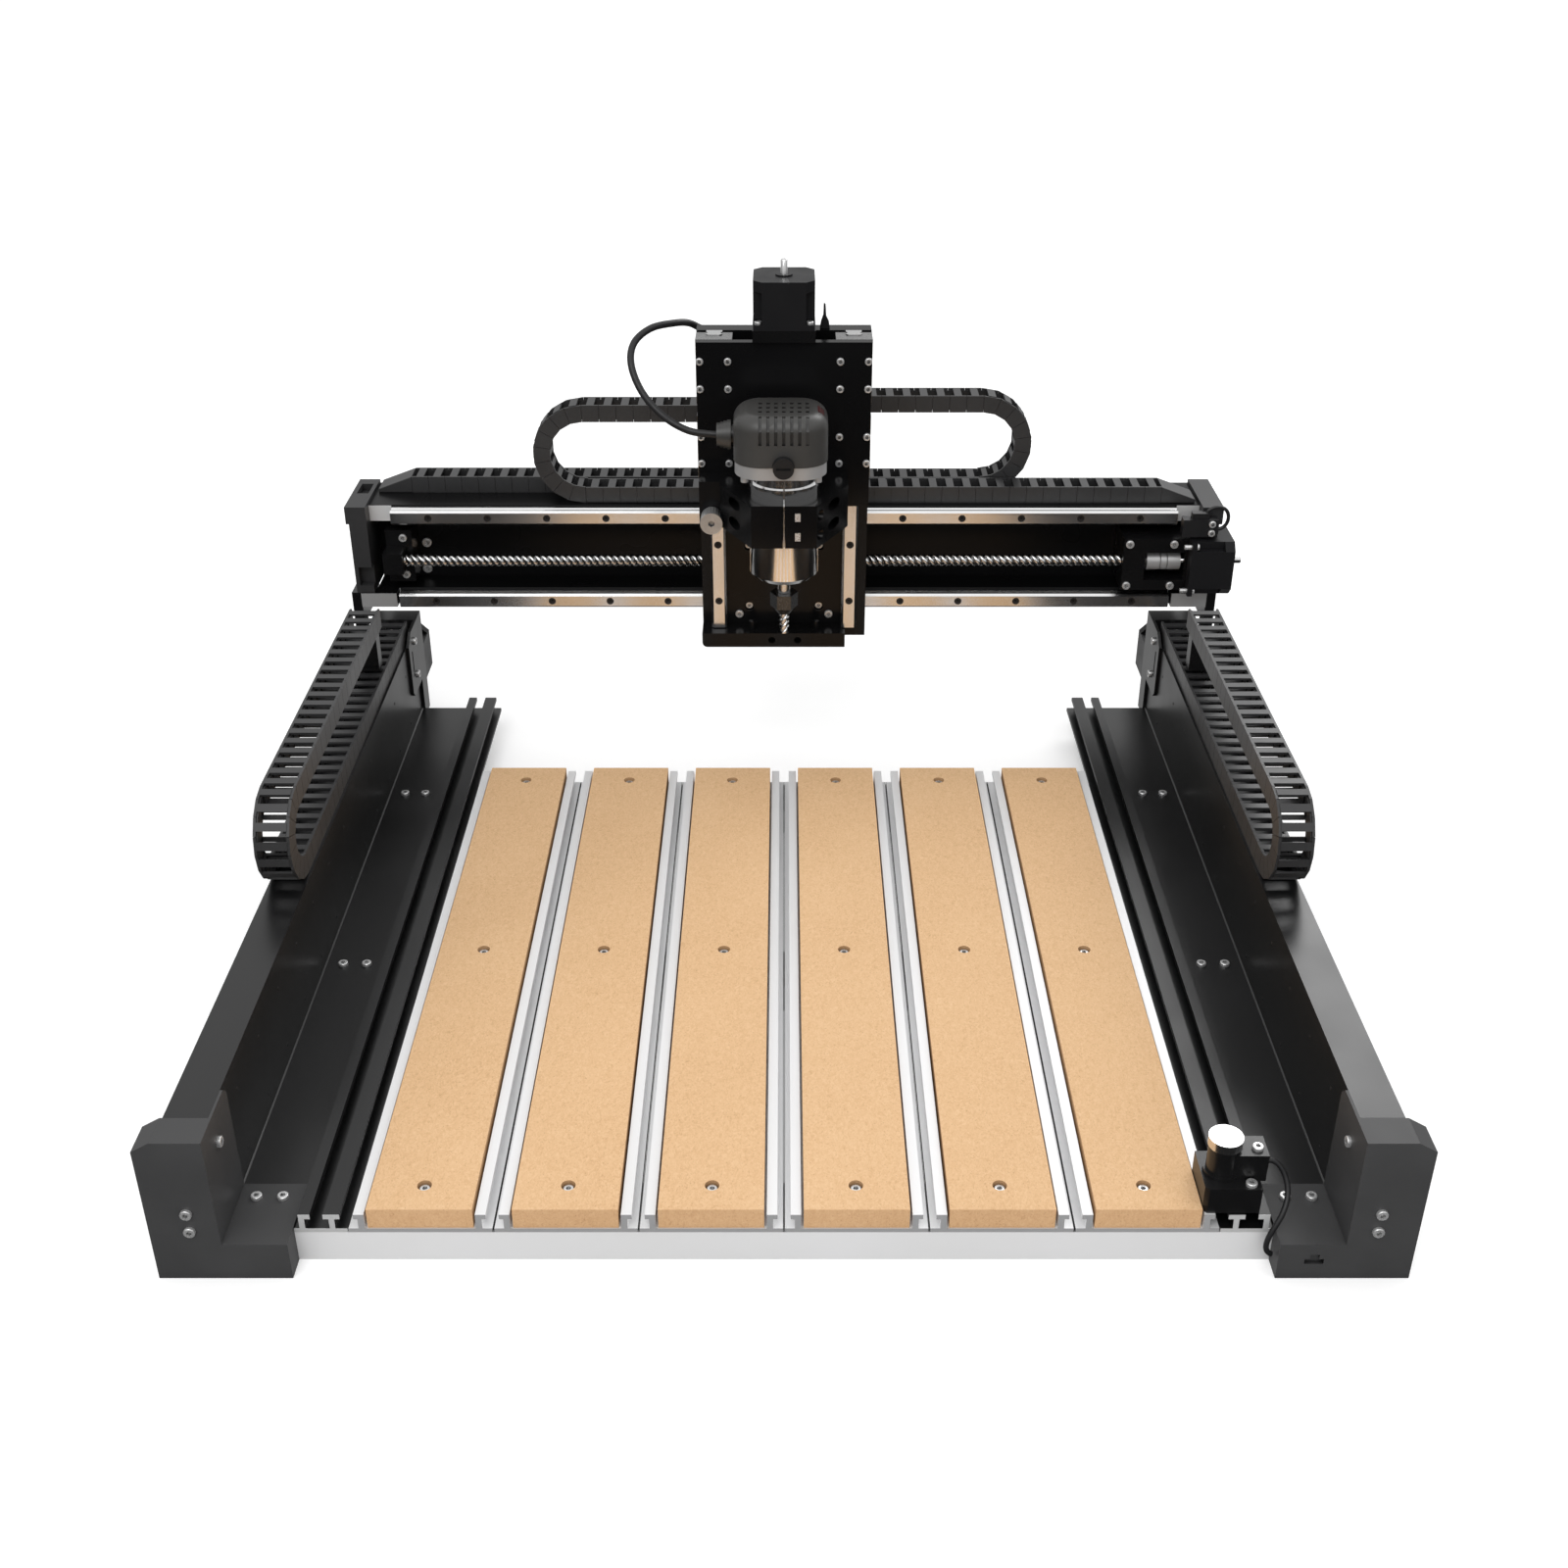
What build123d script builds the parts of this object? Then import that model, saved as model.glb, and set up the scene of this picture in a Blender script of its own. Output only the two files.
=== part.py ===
"""Bench-top CNC router: a T-slot table with two deep side beams, a moving gantry, an X carriage and a Z axis.

Millimetres, +Z up. X runs across the table, Y runs from the front to the back.
The origin is on the floor, in the middle of the table's width, under the middle row of slat screws.
Every node is written in the machine's rest pose: gantry at the back, X carriage central, Z axis raised.
"""
import math
import os

from build123d import *

os.makedirs("parts", exist_ok=True)

# ---------------------------------------------------------------- table
SLAT_PITCH = 101.6
SLAT_COUNT = 6
SLAT_WIDTH = 74.0
SLAT_BOTTOM = 28.9
SLAT_TOP = 45.6
SLAT_END = 314.0
SLAT_SCREW_Y = (-289.4, 0.0, 289.4)
SLAT_RECESS = 5.2
SLAT_SHANK = 16.3
PANEL_END = 315.0
PANEL_BOTTOM = 25.7
PANEL_GAP = 0.6
POST_TOP = 41.5
FLANGE_THICK = 3.8
POST_OUT = 12.0
POST_WEB = 4.4
SLOT_HALF = 4.6
SLAT_BORE = 5.2
CROSSBAR_TOP = 25.6
CROSSBAR_WIDTH = 50.0
CROSSBAR_END = 407.5
CROSSBAR_WALL = 3.0
CROSSBAR_Y = (-290.0, 0.0, 290.0)

# ---------------------------------------------------------------- side beams
BEAM_FRONT = -315.0
WALL_FRONT = -307.0
BEAM_BACK = 476.0
BEAM_SEAM = 305.2
SHELF_TOP = 29.0
FIRST_RIB = (309.6, 313.5, 317.4, 321.2)
SECOND_RIB = (330.4, 334.5, 338.5)
WALL_IN = 390.0
WALL_SEAT = 408.0
WALL_OUT = 421.0
WALL_TOP = 122.0
ROOF_THICK = 4.0
BEAM_SCREW_X = (355.0, 375.0)
TALL_SCREW_Y = -303.0
TALL_SCREW_Z = 97.7
REAR_SCREW_Y = 456.0
REAR_SCREW_Z = (80.0, 118.0)
BEAM_SCREW_Y = (1.3, 290.6)
Y_RAIL_Z = (43.0, 97.0)
Y_RAIL_FRONT = -300.0
Y_RAIL_BACK = 474.0
Y_SCREW_X = 417.0
Y_SCREW_Z = 70.0
Y_SCREW_FRONT = -300.0
Y_BLOCK_Y = (383.0, 445.0)

# ---------------------------------------------------------------- end caps
CAP_FRONT = -333.2
CAP_BACK = -272.0
CAP_OUT = 436.0
CAP_IN = 342.5
CAP_STEP_TOP = 31.2
CAP_SKIN = 2.1
CAP_SCREW_X = 407.6
CAP_SCREW_Z = (43.8, 59.7)
CAP_TOP_SCREW_X = (356.7, 375.6)
CAP_TOP_SCREW_Y = -286.0
REAR_BACK = 500.0
REAR_TOP = 133.0
REAR_BOTTOM = 20.0
REAR_OUT = 434.0
REAR_IN = 387.0

# ---------------------------------------------------------------- gantry
GANTRY_FRONT = 475.4
GANTRY_BACK = 540.0
GANTRY_BOTTOM = 152.4
GANTRY_TOP = 261.2
GANTRY_END = 422.0
RECESS_BACK = 507.0
RECESS_BOTTOM = 170.4
RECESS_TOP = 243.4
END_OUT = 443.0
END_FRONT = 458.0
END_BOTTOM = 172.0
END_TOP = 265.0
CARRIAGE_IN = 436.0
CARRIAGE_OUT = 446.0
ARM_FRONT = 334.0
ARM_BACK = 348.0
ARM_TOP = 151.5
X_RAIL_Z = (161.4, 252.3)
X_RAIL_END = 398.0
X_SCREW_Y = 461.4
X_SCREW_Z = 206.8
X_SCREW_START = -386.0
X_SCREW_STOP = 344.0
BEARING_FRONT = 472.0
BEARING_SCREW_X = -390.0
BEARING_SCREW_Z = (187.0, 227.0)
RECESS_SCREWS = ((-375.0, 179.0), (-373.0, 208.0))
RECESS_HEAD = 5.0
MOUNT_FRONT = 449.0
SWITCH_FRONT = 446.0
SWITCH_SCREW_X = 430.0
SWITCH_SCREW_Z = (242.5, 252.0)
SWITCH_CABLE_Y = 453.0
SWITCH_CABLE_RADIUS = 1.8
X_MOTOR_FACE = 410.0
X_SHAFT_START = 386.0
X_COUPLER = (370.0, 404.0)
X_MOUNT_IN = 344.5
UPRIGHT_FRONT = 345.0
UPRIGHT_BOTTOM = 30.0
UPRIGHT_TOP = 120.0

# ---------------------------------------------------------------- X carriage and Z axis
X_PLATE_FRONT = 418.0
X_PLATE_BACK = 436.0
X_PLATE_HALF = 82.0
X_PLATE_BOTTOM = 142.7
X_PLATE_TOP = 456.0
X_BLOCK_X = (-48.0, 48.0)
Z_RAIL_X = 65.0
Z_RAIL_BOTTOM = 158.0
Z_RAIL_TOP = 456.0
Z_RAIL_HOLE = 187.1
Z_BLOCK_Z = (352.3, 424.4)
Z_PLATE_FRONT = 381.0
Z_PLATE_BACK = 390.0
Z_PLATE_HALF = 81.0
Z_PLATE_BOTTOM = 296.0
Z_PLATE_TOP = 455.0
Z_SCREW_Y = 404.0
BOTTOM_PLATE_TOP = 157.0
BOTTOM_PLATE_FRONT = 391.0
BOTTOM_HOLE_X = (-12.2, 13.6)
BOTTOM_SCREW_X = (-45.0, 45.0)
BOTTOM_SCREW_Z = 167.0
MOTOR_MOUNT_TOP = 467.0

# ---------------------------------------------------------------- router
ROUTER_Y = 335.0
CAN_RADIUS = 32.5
CAN_BOTTOM = 246.0
CAN_TOP = 354.0
MOUNT_BOTTOM = 290.0
MOUNT_TOP = 331.0
MOUNT_HALF = 60.0
MOUNT_NOSE = 30.0
MOUNT_FACE = 289.5
BAND_TOP = 366.0
HEAD_TOP = 411.0
HEAD_ROUNDING = 14.0
HEAD_LEFT = -46.0
HEAD_RIGHT = 40.0
HEAD_FRONT = 292.0
HEAD_BACK = 368.0
HEAD_CORNER = 26.0
TIP_Z = 184.5
VENT_ROWS = (315.0, 327.0, 339.0)
VENT_COUNT = 7
VENT_START = -21.5
VENT_PITCH = 7.1
VENT_DEPTH = 14.0
SWITCH_X = 32.0
SWITCH_Z = 405.8
SWITCH_RADIUS = 4.6
CORD_Z = 383.3
CORD_RADIUS = 3.3
BRUSH_X = -0.5
BRUSH_Z = 367.5
CLAMP_SCREW_Y = 296.0
CLAMP_SCREW_Z = (301.2, 320.2)
MOUNT_SCREW_X = 46.0
MOUNT_SCREW_Z = (303.0, 322.0)
KNOB_X = -68.2
KNOB_Z = 296.0
KNOB_RADIUS = 10.5

# ---------------------------------------------------------------- tool-length probe
PROBE_X = 306.0
PROBE_Y = -293.0

# ---------------------------------------------------------------- bought parts
RAIL_WIDTH = 15.0
RAIL_HEIGHT = 15.0
RAIL_TOP_FLAT = 10.8
RAIL_PITCH = 60.0
BLOCK_WIDTH = 34.0
BLOCK_LENGTH = 61.4
BLOCK_RISE = 28.0
BLOCK_GAP = 4.3
BLOCK_BOLT = 26.0
SCREW_RADIUS = 6.0
JOURNAL_RADIUS = 4.0
MOTOR_SHAFT_RADIUS = 3.17
RUNNING = 0.06
FIT = 0.1
MOTOR_SIZE = 56.4
MOTOR_LENGTH = 45.0
MOTOR_FLANGE = 5.0
MOTOR_REAR = 34.0
MOTOR_NOTCH = 8.0
MOTOR_BOSS = 1.2
MOTOR_HOLE = 47.14 / 2
SLEEVE_RADIUS = 9.5
SLEEVE_BORE = 10.5
HEAD_RADIUS = 4.1
SMALL_HEAD = 3.5
HEAD_HEIGHT = 2.7
HEAD_ROUND = 0.9
SHANK_RADIUS = 2.5
THIN_SHANK = 2.0
HEX_SHARE = 0.5
HEX_DEPTH = 2.1

# ---------------------------------------------------------------- cable chains
Y_CHAIN_IN = 392.0
Y_CHAIN_OUT = 421.0
Y_CHAIN_BASE = 122.1
Y_CHAIN_HIGH = 19.0
Y_CHAIN_TOP = 203.8
Y_CHAIN_BEND = 2.0
Y_CHAIN_END = 330.0
Y_CHAIN_ANCHOR = 455.0
X_CHAIN_Y = ((480.0, 508.0), (510.0, 538.0))
X_CHAIN_BASE = 261.3
X_CHAIN_HIGH = 17.0
X_CHAIN_TOP = 363.4
X_CHAIN_BEND = 201.0
X_CHAIN_ANCHOR = 383.0
X_CHAIN_RAMP = 418.0
CHAIN_WALL = 2.6


def block(x0, x1, y0, y1, z0, z1):
    """Axis-aligned box between two corners."""
    centre = ((x0 + x1) / 2, (y0 + y1) / 2, (z0 + z1) / 2)
    return Pos(*centre) * Box(abs(x1 - x0), abs(y1 - y0), abs(z1 - z0))


def rod(start, stop, radius):
    """Cylinder between two points."""
    axis = Vector(*stop) - Vector(*start)
    plane = Plane(origin=start, z_dir=axis)
    return extrude(plane * Circle(radius), axis.length)


def prism_x(points, x0, x1):
    """Closed outline in Y and Z, extruded along X."""
    plane = Plane(origin=(x0, 0, 0), x_dir=(0, 1, 0), z_dir=(1, 0, 0))
    face = plane * make_face(Polyline(*points, close=True))
    return extrude(face, x1 - x0, dir=(1, 0, 0))


def prism_y(points, y0, y1):
    """Closed outline in X and Z, extruded along Y."""
    plane = Plane(origin=(0, y0, 0), x_dir=(1, 0, 0), z_dir=(0, -1, 0))
    face = plane * make_face(Polyline(*points, close=True))
    return extrude(face, y1 - y0, dir=(0, 1, 0))


def prism_z(points, z0, z1):
    """Closed outline in X and Y, extruded along Z."""
    face = Plane.XY.offset(z0) * make_face(Polyline(*points, close=True))
    return extrude(face, z1 - z0, dir=(0, 0, 1))


def tube_along(points, radius):
    """Round cable through a list of points."""
    path = Spline(*points)
    profile = Plane(origin=path @ 0, z_dir=path % 0) * Circle(radius)
    return sweep(profile, path=path)


def mirrored(shape):
    """The same shape on the other side of the machine."""
    return mirror(shape, about=Plane.YZ)


def both_sides(shape):
    """A shape and its mirror image."""
    return [shape, mirrored(shape)]


def cut_all(shape, tools):
    """Take every tool out of a shape."""
    for tool in tools:
        shape = shape - tool
    return shape


def solids_of(shapes):
    """Flatten shapes into a list of solids."""
    found = []
    for shape in shapes:
        found.extend(shape.solids())
    return found


def write(name, *shapes):
    """Write one node as a STEP file."""
    solids = solids_of(shapes)
    node = solids[0] if len(solids) == 1 else Compound(children=solids)
    export_step(node, f"parts/{name}.step")


# ================================================================ fasteners
def screw(at, out, shank, head_radius=HEAD_RADIUS, shank_radius=SHANK_RADIUS):
    """Button-head screw: at is under the head, out points from the surface to the head."""
    origin = Vector(*at)
    axis = Vector(*out)
    head = rod(origin, origin + axis * HEAD_HEIGHT, head_radius)
    rim = head.edges().group_by(SortBy.LENGTH)[-1]
    top = max(rim, key=lambda edge: (edge.center() - origin).dot(axis))
    head = fillet([top], HEAD_ROUND)
    body = rod(origin, origin - axis * shank, shank_radius)
    socket_plane = Plane(origin=origin + axis * (HEAD_HEIGHT - HEX_DEPTH), z_dir=axis)
    socket = extrude(socket_plane * RegularPolygon(head_radius * HEX_SHARE, 6), HEX_DEPTH + 1)
    return head + body - socket


def screw_hole(at, out, shank, shank_radius=SHANK_RADIUS):
    """Clearance for a screw's shank, standing a little proud of the surface."""
    origin = Vector(*at)
    axis = Vector(*out)
    return rod(origin + axis, origin - axis * (shank + 1), shank_radius + FIT)


# ================================================================ linear rails, blocks, screws, motors
def rail_profile(grow=0.0):
    """Outline of a 15 mm profile rail, base on the X axis, optionally grown for a running gap."""
    half = RAIL_WIDTH / 2 + grow
    waist = half - 1.4
    top = RAIL_TOP_FLAT / 2 + grow
    high = RAIL_HEIGHT + grow
    right = [(half, 0), (half, 5), (waist, 6.8), (waist, 9.2), (half, 11), (half, 12.9), (top, high)]
    left = [(-x, z) for x, z in reversed(right)]
    return right + left


def rail(length, first_hole):
    """Rail along X with its base on Z=0; screw holes every 60 mm from first_hole."""
    body = prism_x(rail_profile(), -length / 2, length / 2)
    for x in rail_holes(length, first_hole):
        body = body - rod((x, 0, -1), (x, 0, RAIL_HEIGHT + 1), 2.25)
        body = body - rod((x, 0, RAIL_HEIGHT - 5.3), (x, 0, RAIL_HEIGHT + 1), 3.75)
    return body


def rail_holes(length, first_hole):
    """Positions of a rail's screw holes along X."""
    count = int((length / 2 - first_hole - 5) // RAIL_PITCH) + 1
    return [first_hole + i * RAIL_PITCH for i in range(count)]


def rail_screw(x):
    """Cap screw sunk in a rail's counterbore."""
    base = RAIL_HEIGHT - 5.2
    head = rod((x, 0, base), (x, 0, base + 4.0), 3.5)
    shank = rod((x, 0, base), (x, 0, -4.0), 2.0)
    socket = extrude(Plane.XY.offset(base + 2.2) * Pos(x, 0) * RegularPolygon(1.5, 6), 3)
    return head + shank - socket


def rail_screw_hole(x):
    """Thread for a rail screw in the part the rail is bolted to."""
    return rod((x, 0, 1), (x, 0, -5.0), 2.0 + FIT)


def guide_block(x):
    """Ball-bearing block riding on a rail along X, with a running gap all round the rail."""
    half_length = BLOCK_LENGTH / 2
    half_width = BLOCK_WIDTH / 2
    body = block(x - half_length, x + half_length, -half_width, half_width, BLOCK_GAP, BLOCK_RISE)
    body = body - prism_x(rail_profile(0.3), x - BLOCK_LENGTH, x + BLOCK_LENGTH)
    for dx in (-BLOCK_BOLT / 2, BLOCK_BOLT / 2):
        for dy in (-BLOCK_BOLT / 2, BLOCK_BOLT / 2):
            body = body - rod((x + dx, dy, BLOCK_RISE - 8), (x + dx, dy, BLOCK_RISE + 1), 2.0 + FIT)
    return body


def block_bolts(alongs, rails):
    """Pairs of coordinates of the four bolts of every block, for block centres along two directions."""
    half = BLOCK_BOLT / 2
    centres = [(a, b) for a in alongs for b in rails]
    return [(a + da, b + db) for a, b in centres for da in (-half, half) for db in (-half, half)]


def on_x(z):
    """Places rail parts on the gantry's front face."""
    return Pos(0, GANTRY_FRONT, z) * Rot(90, 0, 0)


def on_y(z):
    """Places rail parts on the left beam's outer seat."""
    return Pos(-WALL_SEAT, 0, z) * Rot(0, -90, 0) * Rot(0, 0, 90)


def on_z(x):
    """Places rail parts upright on the X carriage's front face."""
    return Pos(x, X_PLATE_FRONT, 0) * Rot(0, 0, 90) * Rot(0, -90, 0)


def motor():
    """Stepper motor body: face on Z=0, body down to -45, a clear bore for its shaft."""
    half = MOTOR_SIZE / 2
    inner = half - MOTOR_NOTCH
    flange = block(-half, half, -half, half, -MOTOR_FLANGE, 0)
    octagon = [
        (half, inner), (inner, half), (-inner, half), (-half, inner),
        (-half, -inner), (-inner, -half), (inner, -half), (half, -inner),
    ]
    cross = [
        (half, inner), (inner, inner), (inner, half), (-inner, half), (-inner, inner), (-half, inner),
        (-half, -inner), (-inner, -inner), (-inner, -half), (inner, -half), (inner, -inner), (half, -inner),
    ]
    stack = prism_z(cross, -MOTOR_REAR, -MOTOR_FLANGE)
    cover = prism_z(octagon, MOTOR_BOSS - MOTOR_LENGTH, -MOTOR_REAR)
    boss = rod((0, 0, -MOTOR_LENGTH), (0, 0, MOTOR_BOSS - MOTOR_LENGTH), 8.0)
    body = flange + stack + cover + boss
    for x, y in motor_hole_points():
        body = body - rod((x, y, -6), (x, y, 1), SHANK_RADIUS + FIT)
        body = body - rod((x, y, -9), (x, y, -MOTOR_FLANGE), 4.6)
    return body - rod((0, 0, -MOTOR_LENGTH - 1), (0, 0, 1), MOTOR_SHAFT_RADIUS + RUNNING)


def motor_hole_points():
    """X and Y of the four flange holes in the motor's own frame."""
    return [(x, y) for x in (-MOTOR_HOLE, MOTOR_HOLE) for y in (-MOTOR_HOLE, MOTOR_HOLE)]


def motor_screws():
    """Four flange screws in the motor's own frame, heads on the flange's rear side."""
    return [
        screw((x, y, -MOTOR_FLANGE), (0, 0, -1), 12, head_radius=SMALL_HEAD) for x, y in motor_hole_points()
    ]


def motor_screw_holes():
    """Threads for the flange screws."""
    return [rod((x, y, -1), (x, y, 8.5), SHANK_RADIUS + FIT) for x, y in motor_hole_points()]


def coupler(start, stop):
    """Aluminium clamp coupler with a spiral relief cut, bored through."""
    axis = (Vector(*stop) - Vector(*start)).normalized()
    body = rod(start, stop, SLEEVE_RADIUS)
    body = body - rod(Vector(*start) - axis, Vector(*stop) + axis, JOURNAL_RADIUS)
    middle = (Vector(*start) + Vector(*stop)) * 0.5
    for shift in (-3.5, 3.5):
        centre = middle + axis * shift
        ring = rod(centre - axis * 0.5, centre + axis * 0.5, 11) - rod(centre - axis, centre + axis, 6)
        body = body - ring
    return body


# ================================================================ table
def slat_centres():
    """X of the slats and of the panels under them."""
    return [(i - (SLAT_COUNT - 1) / 2) * SLAT_PITCH for i in range(SLAT_COUNT)]


def table_panel(x):
    """Extruded panel: a thin floor with half a T-post at each long edge."""
    half = SLAT_PITCH / 2 - PANEL_GAP / 2
    lip = SLAT_PITCH / 2 - SLOT_HALF
    out = SLAT_PITCH / 2 - POST_OUT
    under = POST_TOP - FLANGE_THICK
    floor = SLAT_BOTTOM - FIT
    right = [
        (half, PANEL_BOTTOM), (half, floor), (out + POST_WEB, floor), (out + POST_WEB, under),
        (lip, under), (lip, POST_TOP), (out, POST_TOP), (out, floor),
    ]
    left = [(-a, b) for a, b in reversed(right)]
    outline = [(x + a, b) for a, b in right + left]
    body = prism_y(outline, -PANEL_END, PANEL_END)
    holes = [screw_hole((x, y, SLAT_BOTTOM), (0, 0, 1), 12) for y in SLAT_SCREW_Y]
    return cut_all(body, holes)


def slat(x):
    """Fibreboard slat with three counterbored screw holes."""
    body = block(x - SLAT_WIDTH / 2, x + SLAT_WIDTH / 2, -SLAT_END, SLAT_END, SLAT_BOTTOM, SLAT_TOP)
    for y in SLAT_SCREW_Y:
        body = body - rod((x, y, SLAT_TOP - SLAT_RECESS), (x, y, SLAT_TOP + 1), SLAT_BORE)
        body = body - rod((x, y, SLAT_BOTTOM - 1), (x, y, SLAT_TOP), SHANK_RADIUS + FIT)
    return body


def slat_screw(x, y):
    """Screw sunk in a slat, reaching through the panel into a crossbar."""
    return screw((x, y, SLAT_TOP - SLAT_RECESS), (0, 0, 1), SLAT_SHANK)


def crossbar(y):
    """Hollow rectangular bar under the table."""
    y0 = y - CROSSBAR_WIDTH / 2
    y1 = y + CROSSBAR_WIDTH / 2
    body = block(-CROSSBAR_END, CROSSBAR_END, y0, y1, 0, CROSSBAR_TOP)
    inner = block(
        -CROSSBAR_END - 1, CROSSBAR_END + 1, y0 + CROSSBAR_WALL, y1 - CROSSBAR_WALL,
        CROSSBAR_WALL, CROSSBAR_TOP - CROSSBAR_WALL,
    )
    return body - inner


def crossbar_holes():
    """Every screw that reaches into the crossbars."""
    holes = [screw_hole((x, y, SLAT_BOTTOM), (0, 0, 1), 12) for x in slat_centres() for y in SLAT_SCREW_Y]
    for x, y, z in beam_screw_points():
        holes.append(screw_hole((x, y, z), (0, 0, 1), 10))
    return holes


# ============================================================ side beams and caps: left, mirrored for right
def beam_screw_points():
    """Under-head points of the vertical screws through both shelves and both front caps."""
    points = []
    for side in (-1, 1):
        for y in BEAM_SCREW_Y:
            points.extend((side * x, y, SHELF_TOP) for x in BEAM_SCREW_X)
        points.extend((side * x, CAP_TOP_SCREW_Y, CAP_STEP_TOP) for x in CAP_TOP_SCREW_X)
    return points


def side_beam():
    """Left beam: slotted shelf at the table, tall hollow wall, rail seat facing outwards under a roof lip."""
    under = POST_TOP - FLANGE_THICK
    near = FIRST_RIB
    far = SECOND_RIB
    outline = [
        (-BEAM_SEAM, PANEL_BOTTOM), (-BEAM_SEAM, SLAT_BOTTOM), (-near[1], SLAT_BOTTOM), (-near[1], under),
        (-near[0], under), (-near[0], POST_TOP), (-near[3], POST_TOP), (-near[3], under), (-near[2], under),
        (-near[2], SLAT_BOTTOM), (-far[1], SLAT_BOTTOM), (-far[1], under), (-far[0], under),
        (-far[0], POST_TOP), (-far[2], POST_TOP), (-far[2], SHELF_TOP), (-WALL_IN, SHELF_TOP),
        (-WALL_IN, WALL_TOP), (-WALL_OUT, WALL_TOP), (-WALL_OUT, WALL_TOP - ROOF_THICK),
        (-WALL_SEAT, WALL_TOP - ROOF_THICK), (-WALL_SEAT, PANEL_BOTTOM),
    ]
    body = prism_y(outline, BEAM_FRONT, BEAM_BACK)
    body = body - block(-WALL_SEAT + 5, -WALL_IN - 4, BEAM_FRONT - 1, BEAM_BACK + 1, 31, WALL_TOP - 5)
    body = body - block(-WALL_OUT - 1, -WALL_IN + 1.9, BEAM_FRONT - 1, WALL_FRONT, 0, WALL_TOP + 1)
    holes = [screw_hole(point, (0, 0, 1), 10) for point in beam_screw_points() if point[0] < 0]
    for z in Y_RAIL_Z:
        holes.extend(on_y(z) * rail_screw_hole(x) for x in y_rail_holes())
    holes.append(screw_hole((-WALL_IN, TALL_SCREW_Y, TALL_SCREW_Z), (1, 0, 0), 12))
    holes.extend(screw_hole((-WALL_IN, REAR_SCREW_Y, z), (1, 0, 0), 8) for z in REAR_SCREW_Z)
    return cut_all(body, holes)


def y_rail_length():
    """Length of the Y rails."""
    return Y_RAIL_BACK - Y_RAIL_FRONT


def y_rail_middle():
    """Y of the middle of the Y rails."""
    return (Y_RAIL_BACK + Y_RAIL_FRONT) / 2


def y_rail_holes():
    """Y positions of the Y rail holes."""
    length = y_rail_length()
    return [y_rail_middle() + x for x in rail_holes(length, -length / 2 + 27)]


def y_rail(z):
    """One Y rail on the left beam."""
    length = y_rail_length()
    bar = rail(length, -length / 2 + 27)
    return on_y(z) * Pos(y_rail_middle(), 0, 0) * bar


def front_cap():
    """Moulded cover over the left beam's front end and the front crossbar's end."""
    tall = [
        (-CAP_OUT, 0), (-CAP_OUT, 114.4), (-423.0, WALL_TOP), (-WALL_IN + 2, WALL_TOP), (-WALL_IN + 2, 0),
    ]
    body = prism_y(tall, CAP_FRONT, WALL_FRONT - FIT)
    body = body + block(-WALL_IN, -CAP_IN, CAP_FRONT, BEAM_FRONT - FIT, 0, CAP_STEP_TOP)
    skin = block(-WALL_IN + 2, -CAP_IN, BEAM_FRONT - FIT, CAP_BACK, CAP_STEP_TOP - CAP_SKIN, CAP_STEP_TOP)
    flange = [
        (BEAM_FRONT - 1, CAP_STEP_TOP - CAP_SKIN), (CAP_BACK, CAP_STEP_TOP - CAP_SKIN), (CAP_BACK, 116.0),
        (CAP_BACK - 6, WALL_TOP), (BEAM_FRONT - 1, WALL_TOP),
    ]
    body = body + skin + prism_x(flange, -WALL_IN + FIT, -WALL_IN + 2)
    body = body - block(-WALL_IN - 1, -WALL_IN + FIT, WALL_FRONT - FIT, 0, 0, WALL_TOP + 1)
    body = body - block(-WALL_OUT - 20, -CAP_IN - 3, BEAM_FRONT - FIT, WALL_FRONT, 0, CAP_STEP_TOP - CAP_SKIN)
    hollow = block(-CAP_OUT + 4, -CAP_IN - 4, CAP_FRONT + 4, BEAM_FRONT - 3.0, -1, CAP_STEP_TOP - 5)
    body = body - hollow
    body = body - rod((-Y_SCREW_X, -322, Y_SCREW_Z), (-Y_SCREW_X, -300, Y_SCREW_Z), SCREW_RADIUS + 0.5)
    holes = [screw_hole(point, (0, 0, 1), 10) for point in beam_screw_points() if point[0] < 0]
    holes.extend(screw_hole((-CAP_SCREW_X, CAP_FRONT, z), (0, -1, 0), 12) for z in CAP_SCREW_Z)
    holes.append(screw_hole((-WALL_IN + 2, TALL_SCREW_Y, TALL_SCREW_Z), (1, 0, 0), 12))
    return cut_all(body, holes)


def cable_port():
    """Small T-shaped socket in the right front cap's foot."""
    slot = block(361.0, 374.5, CAP_FRONT - 1, CAP_FRONT + 3, 13.4, 18.0)
    return slot + block(364.5, 371.0, CAP_FRONT - 1, CAP_FRONT + 3, 13.4, 21.9)


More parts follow.
